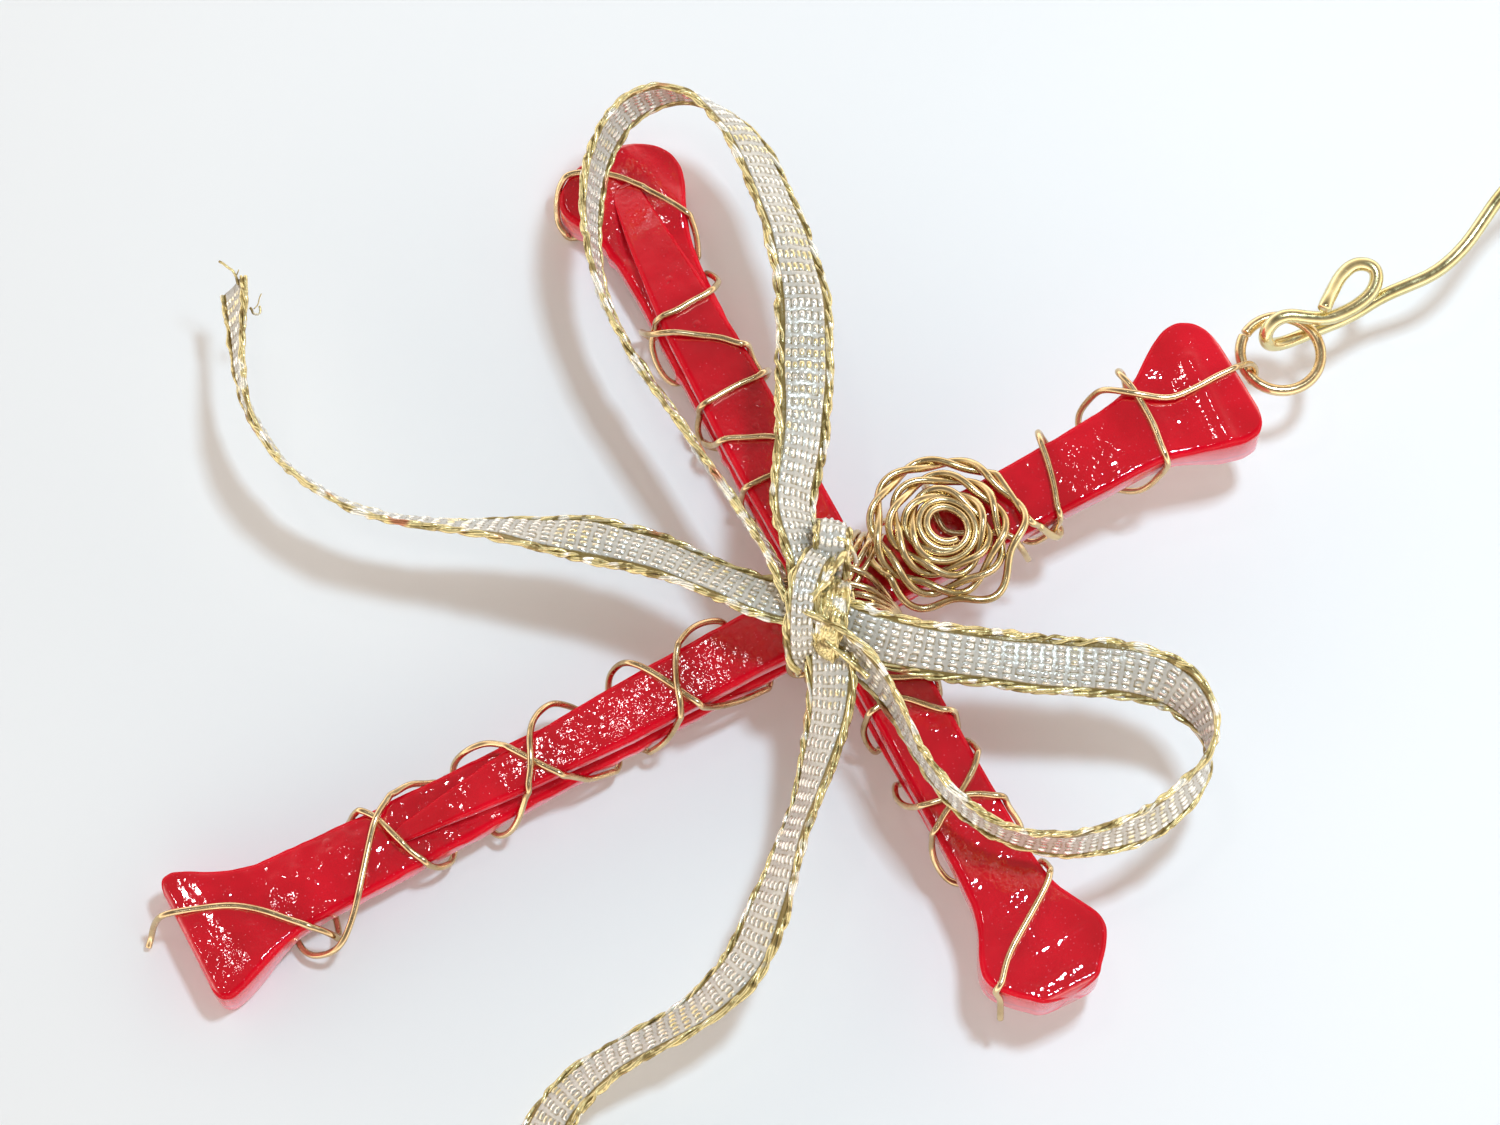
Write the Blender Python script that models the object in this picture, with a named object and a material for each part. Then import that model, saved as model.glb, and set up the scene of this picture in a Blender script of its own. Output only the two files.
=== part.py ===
"""Horseshoe nail cross ornament, lying face up.

Four painted horseshoe nails are lashed into a cross with thin gold wire. A coil of
twisted wire and a ribbon bow sit on the crossing, and a ring and a wire hook hang
from the top of the stem. Units are metres, +Z is up and the stem runs along +Y.
"""

import math
from dataclasses import dataclass

import bmesh
import bpy
from mathutils import Matrix, Vector

MM = 0.001

# Nail: one rolled and pointed form, used four times
NAIL_LENGTH = 57.0 * MM
HEAD_LENGTH = 5.8 * MM
HEAD_WIDTH = 8.4 * MM
HEAD_END_WIDTH = 6.6 * MM
HEAD_SEAT = 1.1 * MM
HEAD_CROWN = 0.25 * MM
NECK_WIDTH = 4.6 * MM
NECK_LENGTH = 10.0 * MM
NECK_THICKNESS = 1.8 * MM
SHANK_WIDTH = 3.5 * MM
SHANK_THICKNESS = 0.95 * MM
POINT_LENGTH = 14.0 * MM
POINT_WIDTH = 1.2 * MM
POINT_THICKNESS = 0.55 * MM
NAIL_CHAMFER = 0.35 * MM

# Cross: how far each head reaches from the crossing, and how the bars are laid
FOOT_REACH = 43.2 * MM
TOP_REACH = 27.1 * MM
LEFT_REACH = 33.8 * MM
RIGHT_REACH = 27.1 * MM
CROSSBAR_SKEW = math.radians(-2.0)
FOOT_OFFSET = -0.3 * MM
TOP_OFFSET = 0.2 * MM
LEFT_OFFSET = 0.2 * MM
RIGHT_OFFSET = 0.6 * MM
CROSSING_LIFT = 1.15 * MM
NAIL_GAP = 0.2 * MM
TIP_PULL = 0.8 * MM

# Binding wire
WIRE = 0.4 * MM
WIRE_GAP = 0.12 * MM
WIRE_BULGE = 0.45 * MM
WIRE_SIDES = 5
STEPS_PER_TURN = 16
WIRE_STEP = 0.9 * MM
WIRE_BEND = math.radians(9.0)
WIRE_LONGEST = 3.2 * MM
LASH_TURNS = 4
LASH_BEND = math.radians(6.0)
LASH_REACH = 4.7 * MM
LASH_CLEAR = 1.3 * MM

# Coil of two twisted strands
COIL_CENTRE = (-0.5 * MM, 7.1 * MM)
COIL_STRAND = 0.42 * MM
COIL_INNER = 1.5 * MM
COIL_OUTER = 4.25 * MM
COIL_TURNS = 2.55
COIL_LOBES = 5.5
COIL_START = math.radians(-40.0)
COIL_LIFT = 0.95 * MM

# Ring and hook
RING_WIRE = 0.7 * MM
RING_RADIUS = 2.45 * MM
RING_SHIFT = -1.0 * MM
RING_PAST_HEAD = 3.4 * MM
RING_ABOVE_SEAT = 1.05 * MM
RING_CUT = math.radians(211.0)
HOOK_WIRE = 0.85 * MM
HOOK_STEP = 0.7 * MM
HOOK_BEND = math.radians(10.0)
CROOK_CENTRE = (3.6 * MM, 22.7 * MM)
CROOK_RADIUS = 7.0 * MM
CROOK_START = math.radians(190.0)
CROOK_END = math.radians(-32.0)
CROOK_REST = 0.6 * MM
CROOK_POINTS = 9

# Ribbon
RIBBON_WIDTH = 3.5 * MM
RIBBON_THICKNESS = 0.45 * MM
RIBBON_STEP = 1.7 * MM
KNOT_CENTRE = (0.4 * MM, -2.2 * MM)
KNOT_SIZE = (6.2 * MM, 4.6 * MM, 3.2 * MM)
KNOT_TURN = math.radians(-28.0)

# Colours, roughness and metallic value
RED_PAINT = ((0.62, 0.01, 0.03), 0.18, 0.0)
BINDING_GOLD = ((0.62, 0.42, 0.17), 0.28, 1.0)
HOOK_GOLD = ((0.78, 0.60, 0.22), 0.32, 1.0)
RIBBON_SILVER = ((0.80, 0.76, 0.58), 0.35, 0.8)


def lerp(low, high, share):
    """Value between low and high, with the share held to 0..1."""
    share = min(1.0, max(0.0, share))
    return low + (high - low) * share


def nail_width(s):
    """Full width of a nail at a distance s from the end of its head."""
    round_end = 0.28 * HEAD_LENGTH
    if s < round_end:
        turn = math.sqrt(max(0.0, 1.0 - (1.0 - s / round_end) ** 2))
        return lerp(HEAD_END_WIDTH, HEAD_WIDTH, turn)
    if s < HEAD_LENGTH:
        return lerp(HEAD_WIDTH, 1.08 * NECK_WIDTH, (s - round_end) / (HEAD_LENGTH - round_end))
    if s < NECK_LENGTH:
        return lerp(1.08 * NECK_WIDTH, NECK_WIDTH, (s - HEAD_LENGTH) / (NECK_LENGTH - HEAD_LENGTH))
    point = NAIL_LENGTH - POINT_LENGTH
    if s < point:
        return lerp(NECK_WIDTH, SHANK_WIDTH, (s - NECK_LENGTH) / (point - NECK_LENGTH))
    return lerp(SHANK_WIDTH, POINT_WIDTH, ((s - point) / POINT_LENGTH) ** 1.6)


def nail_thickness(s):
    """Thickness of the shank at a distance s from the end of the head."""
    point = NAIL_LENGTH - POINT_LENGTH
    if s < point:
        return lerp(NECK_THICKNESS, SHANK_THICKNESS, (s - HEAD_LENGTH) / (point - HEAD_LENGTH))
    return lerp(SHANK_THICKNESS, POINT_THICKNESS, (s - point) / POINT_LENGTH)


@dataclass
class Nail:
    """A nail in the cross: its head is at reach from the crossing, its tip past it."""

    name: str
    reach: float
    heading: float
    offset: float
    crossing_height: float
    slope: float
    pull: float

    def under(self, s):
        """Height of the underside at a distance s from the end of the head."""
        line = self.crossing_height + self.slope * (self.reach - max(s, HEAD_LENGTH))
        if s < HEAD_LENGTH:
            line -= HEAD_SEAT * min(1.0, (HEAD_LENGTH - s) / (0.45 * HEAD_LENGTH))
        past = (s - self.reach) / (NAIL_LENGTH - self.reach)
        return line + self.pull * max(0.0, past) ** 2

    def top(self, s):
        """Height of the top at a distance s from the end of the head."""
        crown = HEAD_CROWN * max(0.0, 1.0 - s / HEAD_LENGTH)
        seat = 0.0
        if s < HEAD_LENGTH:
            seat = HEAD_SEAT * min(1.0, (HEAD_LENGTH - s) / (0.45 * HEAD_LENGTH))
        return self.under(s) + seat + nail_thickness(s) + crown

    def place(self, r, across, height):
        """Point at r along the arm from the crossing, across to its left, at a height."""
        along = Vector((math.cos(self.heading), math.sin(self.heading), 0.0))
        left = Vector((-along.y, along.x, 0.0))
        return along * r + left * (across + self.offset) + Vector((0.0, 0.0, height))


def build_stack():
    """Lay the nails on each other: left, foot, right, then top.

    The two lower nails have their heads on the surface and climb to the crossing.
    The two upper nails lie on the crossing and on the neck of the nail below them.
    """
    seat = HEAD_SEAT
    left = Nail("nail_left", LEFT_REACH, math.pi + CROSSBAR_SKEW, -LEFT_OFFSET, CROSSING_LIFT,
                -(CROSSING_LIFT - seat) / (LEFT_REACH - HEAD_LENGTH), TIP_PULL)
    foot_height = left.top(LEFT_REACH) + NAIL_GAP
    foot = Nail("nail_foot", FOOT_REACH, -0.5 * math.pi, FOOT_OFFSET, foot_height,
                -(foot_height - seat) / (FOOT_REACH - HEAD_LENGTH), TIP_PULL)
    right_height = foot.top(FOOT_REACH) + NAIL_GAP
    right_tail = NAIL_LENGTH - RIGHT_REACH
    right_tip = left.top(LEFT_REACH - right_tail) + NAIL_GAP
    right = Nail("nail_right", RIGHT_REACH, CROSSBAR_SKEW, RIGHT_OFFSET, right_height,
                 (right_height - right_tip) / right_tail, 0.0)
    top_height = right.top(RIGHT_REACH) + NAIL_GAP
    top_tail = NAIL_LENGTH - TOP_REACH
    top_tip = foot.top(FOOT_REACH - top_tail) + NAIL_GAP
    top = Nail("nail_top", TOP_REACH, 0.5 * math.pi, TOP_OFFSET, top_height,
               (top_height - top_tip) / top_tail, 0.0)
    return left, foot, right, top


def clear_scene():
    """Remove every object that the scene starts with."""
    for item in list(bpy.data.objects):
        bpy.data.objects.remove(item, do_unlink=True)


def material(name, look):
    """Principled material from a colour, a roughness and a metallic value."""
    colour, roughness, metallic = look
    made = bpy.data.materials.get(name) or bpy.data.materials.new(name)
    made.use_nodes = True
    shader = made.node_tree.nodes["Principled BSDF"]
    shader.inputs["Base Color"].default_value = (*colour, 1.0)
    shader.inputs["Roughness"].default_value = roughness
    shader.inputs["Metallic"].default_value = metallic
    made.diffuse_color = (*colour, 1.0)
    return made


def make_object(name, mesh, look_name, look):
    """Link a mesh to the scene as a named object with its own material."""
    mesh.materials.append(material(look_name, look))
    made = bpy.data.objects.new(name, mesh)
    bpy.context.scene.collection.objects.link(made)
    return made


def loft(name, rings):
    """Closed mesh from rings of equal point counts, with a face across each end."""
    mesh = bpy.data.meshes.new(name)
    shape = bmesh.new()
    rows = [[shape.verts.new(point) for point in ring] for ring in rings]
    count = len(rows[0])
    for low, high in zip(rows, rows[1:]):
        for i in range(count):
            j = (i + 1) % count
            shape.faces.new((low[i], low[j], high[j], high[i]))
    shape.faces.new(list(reversed(rows[0])))
    shape.faces.new(rows[-1])
    bmesh.ops.recalc_face_normals(shape, faces=shape.faces)
    shape.to_mesh(mesh)
    shape.free()
    return mesh


def nail_mesh(nail):
    """Loft the nail through chamfered rectangles from its head to its tip."""
    head = [share * HEAD_LENGTH for share in (0.0, 0.08, 0.28, 0.55, 0.78, 1.0)]
    point = NAIL_LENGTH - POINT_LENGTH
    shank = [lerp(NECK_LENGTH, point, i / 3) for i in range(4)]
    tip = [point + POINT_LENGTH * share for share in (0.3, 0.55, 0.75, 0.9, 1.0)]
    rings = []
    for s in head + shank + tip:
        half = 0.5 * nail_width(s)
        low = nail.under(s)
        high = nail.top(s)
        edge = min(NAIL_CHAMFER, 0.3 * (high - low))
        if s == 0.0:
            high -= 0.5 * edge
            low += 0.3 * edge
        corners = ((-half, low + edge), (-half + edge, low), (half - edge, low), (half, low + edge),
                   (half, high - edge), (half - edge, high), (-half + edge, high), (-half, high - edge))
        rings.append([nail.place(nail.reach - s, across, height) for across, height in corners])
    return loft(nail.name, rings)


def smooth_route(points, step):
    """Points about one step apart on a Catmull-Rom curve through the given ones."""
    route = []
    count = len(points)
    for i in range(count - 1):
        a = points[max(0, i - 1)]
        b = points[i]
        c = points[i + 1]
        d = points[min(count - 1, i + 2)]
        pieces = max(1, round((c - b).length / step))
        for k in range(pieces):
            t = k / pieces
            route.append(0.5 * ((2 * b) + (c - a) * t + (2 * a - 5 * b + 4 * c - d) * t ** 2
                                + (3 * b - a - 3 * c + d) * t ** 3))
    route.append(points[-1].copy())
    return route


def thin_route(points, angle, longest):
    """Leave out points where the route stays within an angle and a longest step."""
    kept = [points[0]]
    for before, here in zip(points[1:-1], points[2:]):
        last = kept[-1]
        turned = (before - last).angle(here - before, 0.0)
        if turned > angle or (here - last).length > longest:
            kept.append(before)
    kept.append(points[-1])
    return kept


def wire_mesh(name, points, diameter, sides):
    """Round wire along the points, with its sides carried on without twisting."""
    radius = 0.5 * diameter
    tangents = []
    for i in range(len(points)):
        before = points[max(0, i - 1)]
        after = points[min(len(points) - 1, i + 1)]
        tangents.append((after - before).normalized())
    side = tangents[0].orthogonal().normalized()
    rings = []
    for i, (point, tangent) in enumerate(zip(points, tangents)):
        if i:
            side = side - tangent * side.dot(tangent)
            side.normalize()
        other = tangent.cross(side)
        ring = []
        for k in range(sides):
            angle = 2.0 * math.pi * k / sides
            ring.append(point + (side * math.cos(angle) + other * math.sin(angle)) * radius)
        rings.append(ring)
    mesh = loft(name, rings)
    mesh.shade_smooth()
    return mesh


@dataclass
class Arm:
    """One arm of the cross: the nail whose head it ends in and the tip that lies on it."""

    head_nail: Nail
    tip_nail: Nail

    def span(self, r):
        """Lowest and highest surface and the half width of both nails at r."""
        s = self.head_nail.reach - r
        low = self.head_nail.under(s)
        high = self.head_nail.top(s)
        half = 0.5 * nail_width(max(0.0, s))
        other = self.tip_nail.reach + r
        if other < NAIL_LENGTH:
            low = min(low, self.tip_nail.under(other))
            high = max(high, self.tip_nail.top(other))
            half = max(half, 0.5 * nail_width(other) + abs(self.shift()))
        return low, high, half

    def shift(self):
        """Sideways distance between the two nails of the arm."""
        return self.head_nail.offset + self.tip_nail.offset

    def wrap_point(self, r, angle, sense, raised):
        """Point of a wire that goes round the arm: 0 is its side, 90 degrees its top."""
        low, high, half = self.span(r)
        room = 0.5 * WIRE + WIRE_GAP + raised * (WIRE + WIRE_GAP)
        wide = half + room + WIRE_BULGE * (1.0 + 0.3 * math.sin(2.3 * angle))
        tall = 0.5 * (high - low) + room
        cosine = math.cos(angle)
        sine = math.sin(angle)
        across = math.copysign(abs(cosine) ** 0.5, cosine) * wide
        rise = math.copysign(abs(sine) ** 0.5, sine)
        height = 0.5 * (low + high) + rise * tall
        return self.head_nail.place(r, sense * across, height)

    def strand(self, laid, sense, raised):
        """Points of a strand that crosses the top at its first crossing and every pitch.

        The first crossing and the pitch are shares of the way from the lashing to the
        neck of the head. The pitch is negative on the strand that comes back. The wire
        leans further along the arm where it crosses the top.
        """
        first, pitch, wire_lean, start, stop = laid
        inner = LASH_REACH + LASH_CLEAR
        outer = self.head_nail.reach - HEAD_LENGTH
        steps = max(2, round(STEPS_PER_TURN * (stop - start)))
        points = []
        for i in range(steps + 1):
            turn = start + (stop - start) * i / steps
            angle = math.pi * 0.5 - 2.0 * math.pi * turn
            lean = math.copysign(1.0, pitch) * wire_lean * MM * math.sin(2.0 * math.pi * turn)
            along = inner + (outer - inner) * (first + pitch * turn)
            points.append(self.wrap_point(along + lean, angle, sense, raised))
        return points

    def at_head(self, past_end, across, height):
        """Point past the end of the head, across it and above its underside, in millimetres."""
        seat = self.head_nail.under(0.0)
        return self.head_nail.place(self.head_nail.reach + past_end * MM, across * MM, seat + height * MM)


def arm_wire(arm, sense, out_over, out, turn, back):
    """Wire that is wound out along an arm, turned at its head and wound back.

    out_over tells whether the strand out lies over the strand back. out and back are a
    strand's first crossing, pitch, lean in millimetres and first and last turn. turn
    holds the points that lead the wire round the head.
    """
    points = arm.strand(out, sense, 1.0 if out_over else 0.0)
    points += [arm.at_head(*place) for place in turn]
    points += arm.strand(back, sense, 0.0 if out_over else 1.0)
    return thin_route(smooth_route(points, WIRE_STEP), WIRE_BEND, WIRE_LONGEST)


# Binding wire of each arm: the way its top crossings run, the strand out, the turn
# round the head and the strand back
FOOT_WIRE = (1, False, (0.162, 0.307, 1.7, -0.5, 2.55),
             ((-6.2, -3.0, 0.8), (-4.6, -4.2, 0.8), (-2.6, -5.0, 1.0), (-0.7, -5.0, 1.2),
              (0.6, -4.2, 1.7), (0.8, -3.4, 2.7), (-0.2, -2.6, 3.5), (-1.6, -1.5, 3.6)),
             (1.083, -0.307, 1.7, 0.0, 3.45))
LEFT_WIRE = (-1, False, (0.155, 0.275, 1.2, -0.5, 2.55),
             ((-7.0, 2.6, 0.8), (-5.2, 3.6, 0.7), (-3.5, 4.8, 0.9), (-1.8, 5.0, 1.5),
              (-0.5, 4.6, 2.4), (-0.2, 3.6, 3.3), (-1.0, 2.2, 3.8), (-2.8, 0.9, 4.3)),
             (1.018, -0.359, 1.2, 0.0, 2.45))
TOP_WIRE = (-1, True, (0.627, 0.484, 1.7, -0.5, 1.0),
            ((-1.7, 0.9, 4.4), (0.1, 0.9, 4.3), (1.4, 0.9, 3.5), (2.1, 0.8, 2.1), (1.9, 0.7, 0.3),
             (1.0, 0.6, -0.6), (-0.7, 0.6, -0.6), (-2.7, 1.6, -0.5), (-4.2, 2.9, -0.1)),
            (0.974, -0.451, -0.8, -0.27, 1.5))
RIGHT_WIRE = (1, False, (0.516, 0.556, 0.4, -0.9, 0.55),
              ((-7.1, -2.6, -0.4), (-5.5, -3.6, 0.2), (-3.7, -4.9, 0.9), (-1.7, -5.2, 1.3),
               (0.1, -4.6, 1.9), (0.7, -3.8, 3.2), (-0.3, -3.1, 4.4), (-2.3, -2.1, 4.5)),
              (1.078, -0.559, 1.2, 0.0, 1.9))


def lashing_route(low, high):
    """Two coils of wire crossed over the nails, one on each diagonal of the cross.

    The second coil lies over the first above and below. Between them the wire goes
    under the left arm, from one corner of the cross to the next.
    """
    points = []
    room = 0.5 * WIRE + WIRE_GAP
    pitch = WIRE + 1.6 * WIRE_GAP
    middle = 0.5 * (low + high)
    below = low - room - WIRE - WIRE_GAP
    first = (0.25 * math.pi, -0.25, LASH_TURNS - 0.4, 1.0, 0.0)
    second = (0.75 * math.pi, -0.1, LASH_TURNS - 0.25, -1.0, 1.0)
    for heading, start, stop, sense, over in (first, second):
        along = Vector((math.cos(heading), math.sin(heading), 0.0))
        side = Vector((-along.y, along.x, 0.0))
        tall = 0.5 * (high - low) + room + over * (WIRE + WIRE_GAP)
        steps = round((stop - start) * STEPS_PER_TURN)
        if over:
            points.append(Vector((-LASH_REACH, 0.0, below)))
        for i in range(steps + 1):
            turn = lerp(start, stop, i / steps)
            angle = 2.0 * math.pi * turn
            drift = sense * (turn - 0.5 * LASH_TURNS) * pitch
            reach = LASH_REACH + abs(drift)
            cosine = math.cos(angle)
            sine = math.sin(angle)
            far = math.copysign(abs(cosine) ** 0.45, cosine) * reach
            rise = math.copysign(abs(sine) ** 0.45, sine) * tall
            points.append(along * far + side * drift + Vector((0.0, 0.0, middle + rise)))
    return points


def coil_route(phase, nail):
    """One of two strands that twist about each other along a flat spiral.

    The coil lies over the nail, as far above its top as the wire that is wound under it.
    """
    pitch = (COIL_OUTER - COIL_INNER) / COIL_TURNS
    lobe_radius = 0.5 * (COIL_STRAND + WIRE_GAP)
    near = nail.top(nail.reach - COIL_CENTRE[1] + COIL_OUTER)
    far = nail.top(nail.reach - COIL_CENTRE[1] - COIL_OUTER)
    slope = 0.5 * (far - near) / COIL_OUTER
    height = 0.5 * (near + far) + COIL_LIFT + 2.0 * lobe_radius
    steps = round(COIL_TURNS * 26)
    points = []
    for i in range(steps + 1):
        turn = COIL_TURNS * i / steps
        angle = COIL_START + 2.0 * math.pi * turn
        radius = COIL_INNER + pitch * turn
        outward = Vector((math.cos(angle), math.sin(angle), 0.0))
        travelled = turn * (COIL_INNER + 0.5 * pitch * turn) / COIL_OUTER
        twist = 2.0 * math.pi * COIL_LOBES * travelled + phase
        point = Vector((*COIL_CENTRE, height)) + outward * (radius + lobe_radius * math.cos(twist))
        point.z += slope * radius * math.sin(angle) + lobe_radius * math.sin(twist)
        points.append(point)
    return points


def ring_centre(nail):
    """Centre of the jump ring, past the end of the nail's head and above its underside."""
    return nail.place(nail.reach + RING_PAST_HEAD, -RING_SHIFT, nail.under(0.0) + RING_ABOVE_SEAT)


def ring_route(centre):
    """Open circle of the jump ring, from one cut end round to the other."""
    cut = 0.25 * RING_WIRE / RING_RADIUS
    steps = 22
    points = []
    for i in range(steps + 1):
        angle = RING_CUT + cut + (2.0 * math.pi - 2.0 * cut) * i / steps
        points.append(centre + Vector((math.cos(angle), math.sin(angle), 0.0)) * RING_RADIUS)
    return points


# Hook: hand-set points about the ring's centre, from the end of the wire, round both
# eyes and along the shaft
HOOK_ROUTE = (
    (-1.1, 3.6, 1.95), (-1.6, 4.3, 1.65), (-2.35, 5.4, 1.3), (-2.7, 6.5, 1.1), (-2.5, 7.3, 0.9),
    (-2.0, 7.7, 0.8), (-1.4, 7.5, 0.7), (-0.8, 6.8, 0.65), (-0.5, 5.8, 0.65), (-0.4, 4.7, 0.75),
    (-0.5, 3.5, 0.9), (-1.05, 2.4, 1.05), (-1.7, 1.4, 1.15), (-1.85, 0.5, 0.95), (-1.55, -0.2, 0.3),
    (-1.15, -0.15, -0.4), (-0.95, 0.7, -0.85), (-0.85, 1.9, -1.0), (-0.75, 3.2, -1.0), (-0.6, 4.6, -0.95),
    (-0.55, 5.9, -0.8), (-0.6, 6.9, -0.6), (-0.55, 7.9, -0.35), (-0.35, 9.1, 0.0), (-0.15, 10.5, 0.4),
    (-0.2, 11.7, 0.8), (-0.6, 13.2, 1.2), (-1.3, 14.7, 1.5), (-2.05, 16.2, 1.7), (-2.7, 17.9, 1.8),
    (-3.15, 19.7, 1.8),
)


def hook_route(centre):
    """Points of the hook, placed about the centre of the ring that it hangs from.

    After both eyes and the shaft comes the crook, a part of a circle that slopes down
    from the shaft until its far side lies on the surface.
    """
    points = [centre + Vector(point) * MM for point in HOOK_ROUTE]
    high = points[-1].z
    for i in range(CROOK_POINTS + 1):
        angle = lerp(CROOK_START, CROOK_END, i / CROOK_POINTS)
        away = Vector((math.cos(angle), math.sin(angle))) * CROOK_RADIUS
        share = 0.5 * (1.0 + away.x / CROOK_RADIUS)
        points.append(Vector((centre.x + CROOK_CENTRE[0] + away.x, centre.y + CROOK_CENTRE[1] + away.y,
                              lerp(high, CROOK_REST, share))))
    return thin_route(smooth_route(points, HOOK_STEP), HOOK_BEND, WIRE_LONGEST)


# Ribbon: hand-set (x, y, z, bank in degrees) along each stretch, from the knot outwards
LEFT_TAIL = (
    (0.9, -2.7, 10.5, 12), (-0.6, -4.6, 10.3, 22), (-2.4, -6.0, 10.0, 30), (-4.6, -7.5, 9.6, 30), (-6.9, -9.3, 9.2, 22),
    (-9.0, -11.4, 9.0, 15), (-10.8, -13.8, 8.8, 32), (-12.6, -16.2, 8.5, 50), (-14.3, -18.7, 8.2, 68),
    (-15.9, -21.0, 8.0, 84), (-17.8, -22.9, 7.8, 96), (-19.9, -24.4, 7.6, 98), (-22.4, -25.5, 7.4, 99),
    (-25.0, -26.0, 7.2, 101), (-27.7, -26.1, 7.1, 107), (-30.4, -25.5, 7.0, 113),
    (-33.0, -24.5, 7.0, 121), (-35.4, -23.5, 7.0, 126),
)
LOWER_TAIL = (
    (0.6, -1.7, 9.9, 8), (2.6, -2.5, 9.9, 20), (4.6, -3.3, 9.5, 30), (6.7, -4.7, 8.8, 36), (9.0, -6.7, 8.1, 50),
    (11.0, -8.9, 7.6, 62), (13.0, -11.1, 7.1, 54), (15.0, -13.2, 6.5, 38), (16.8, -15.6, 5.8, 32),
    (17.7, -18.3, 5.1, 38), (17.8, -21.1, 4.4, 44), (17.7, -24.0, 3.7, 46), (17.9, -26.9, 3.1, 38),
    (19.0, -29.6, 2.5, 30), (20.8, -31.8, 2.2, 24),
)
RIGHT_LOOP = (
    (1.6, -1.9, 11.0, 24), (3.0, -0.9, 10.9, 30), (4.6, 0.5, 10.7, 32), (6.1, 1.9, 10.4, 30), (7.9, 3.8, 10.7, 20),
    (9.5, 5.8, 10.9, 12), (11.0, 7.9, 11.0, 10), (12.3, 10.1, 11.0, 14), (13.7, 12.2, 10.9, 26),
    (15.6, 13.8, 10.7, 48), (17.9, 14.3, 10.5, 72), (20.0, 13.4, 10.2, 96), (21.1, 11.3, 9.9, 118),
    (21.5, 8.8, 9.7, 126), (21.2, 6.0, 9.5, 124), (20.2, 3.4, 9.4, 120), (18.6, 1.2, 9.4, 118),
    (16.4, -0.4, 9.4, 116), (13.8, -1.2, 9.4, 112), (11.0, -1.4, 9.5, 104), (8.1, -1.3, 9.8, 104),
    (5.3, -1.7, 10.2, 107), (3.2, -2.7, 10.3, 110), (1.6, -3.9, 10.3, 112),
)
UPPER_LOOP = (
    (-0.8, -1.6, 10.8, 30), (-2.2, -1.3, 10.6, 38), (-4.1, -1.3, 10.4, 42), (-6.3, 0.0, 10.4, 36), (-8.3, 1.6, 10.8, 26),
    (-10.5, 3.0, 11.1, 10), (-12.9, 4.3, 11.3, 4), (-15.3, 5.6, 11.4, 8), (-18.1, 6.6, 11.2, 26),
    (-21.0, 7.3, 10.9, 36), (-24.0, 7.8, 10.5, 38), (-27.0, 8.1, 10.1, 42), (-29.9, 7.7, 9.8, 58),
    (-32.2, 6.3, 9.5, 78), (-33.2, 3.8, 9.2, 98), (-32.0, 1.0, 8.9, 108), (-29.2, -1.5, 8.6, 108),
    (-26.2, -3.0, 8.4, 104), (-23.0, -3.9, 8.3, 100), (-19.8, -4.1, 8.3, 102), (-16.6, -4.0, 8.4, 106),
    (-13.4, -3.7, 8.6, 104), (-10.2, -3.5, 8.8, 102), (-7.0, -3.3, 9.3, 104), (-3.8, -3.2, 9.9, 106),
    (-1.6, -3.3, 10.1, 106), (0.2, -3.6, 10.0, 106),
)


def ribbon_mesh(name, controls):
    """Flat band along a smooth route, banked about its own direction."""
    places = [Vector((x * MM, y * MM, z * MM)) for x, y, z, _ in controls]
    banks = [Vector((math.radians(bank), 0.0, 0.0)) for *_, bank in controls]
    route = []
    turned = []
    for i in range(len(places) - 1):
        around = [max(0, i - 1), i, i + 1, min(len(places) - 1, i + 2)]
        pieces = max(1, round((places[i + 1] - places[i]).length / RIBBON_STEP))
        for k in range(pieces):
            t = k / pieces
            weights = (-0.5 * t + t ** 2 - 0.5 * t ** 3, 1 - 2.5 * t ** 2 + 1.5 * t ** 3,
                       0.5 * t + 2 * t ** 2 - 1.5 * t ** 3, -0.5 * t ** 2 + 0.5 * t ** 3)
            route.append(sum((places[j] * w for j, w in zip(around, weights)), Vector()))
            turned.append(sum((banks[j] * w for j, w in zip(around, weights)), Vector()).x)
    route.append(places[-1])
    turned.append(banks[-1].x)
    rings = []
    for i, (point, bank) in enumerate(zip(route, turned)):
        ahead = route[min(len(route) - 1, i + 1)] - route[max(0, i - 1)]
        ahead.normalize()
        level = ahead.cross(Vector((0.0, 0.0, 1.0))).normalized()
        wide = level * math.cos(bank) + ahead.cross(level) * math.sin(bank)
        thick = wide.cross(ahead)
        w = wide * (0.5 * RIBBON_WIDTH)
        t = thick * (0.5 * RIBBON_THICKNESS)
        rings.append([point - w - t, point + w - t, point + w + t, point - w + t])
    return loft(name, rings)


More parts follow.
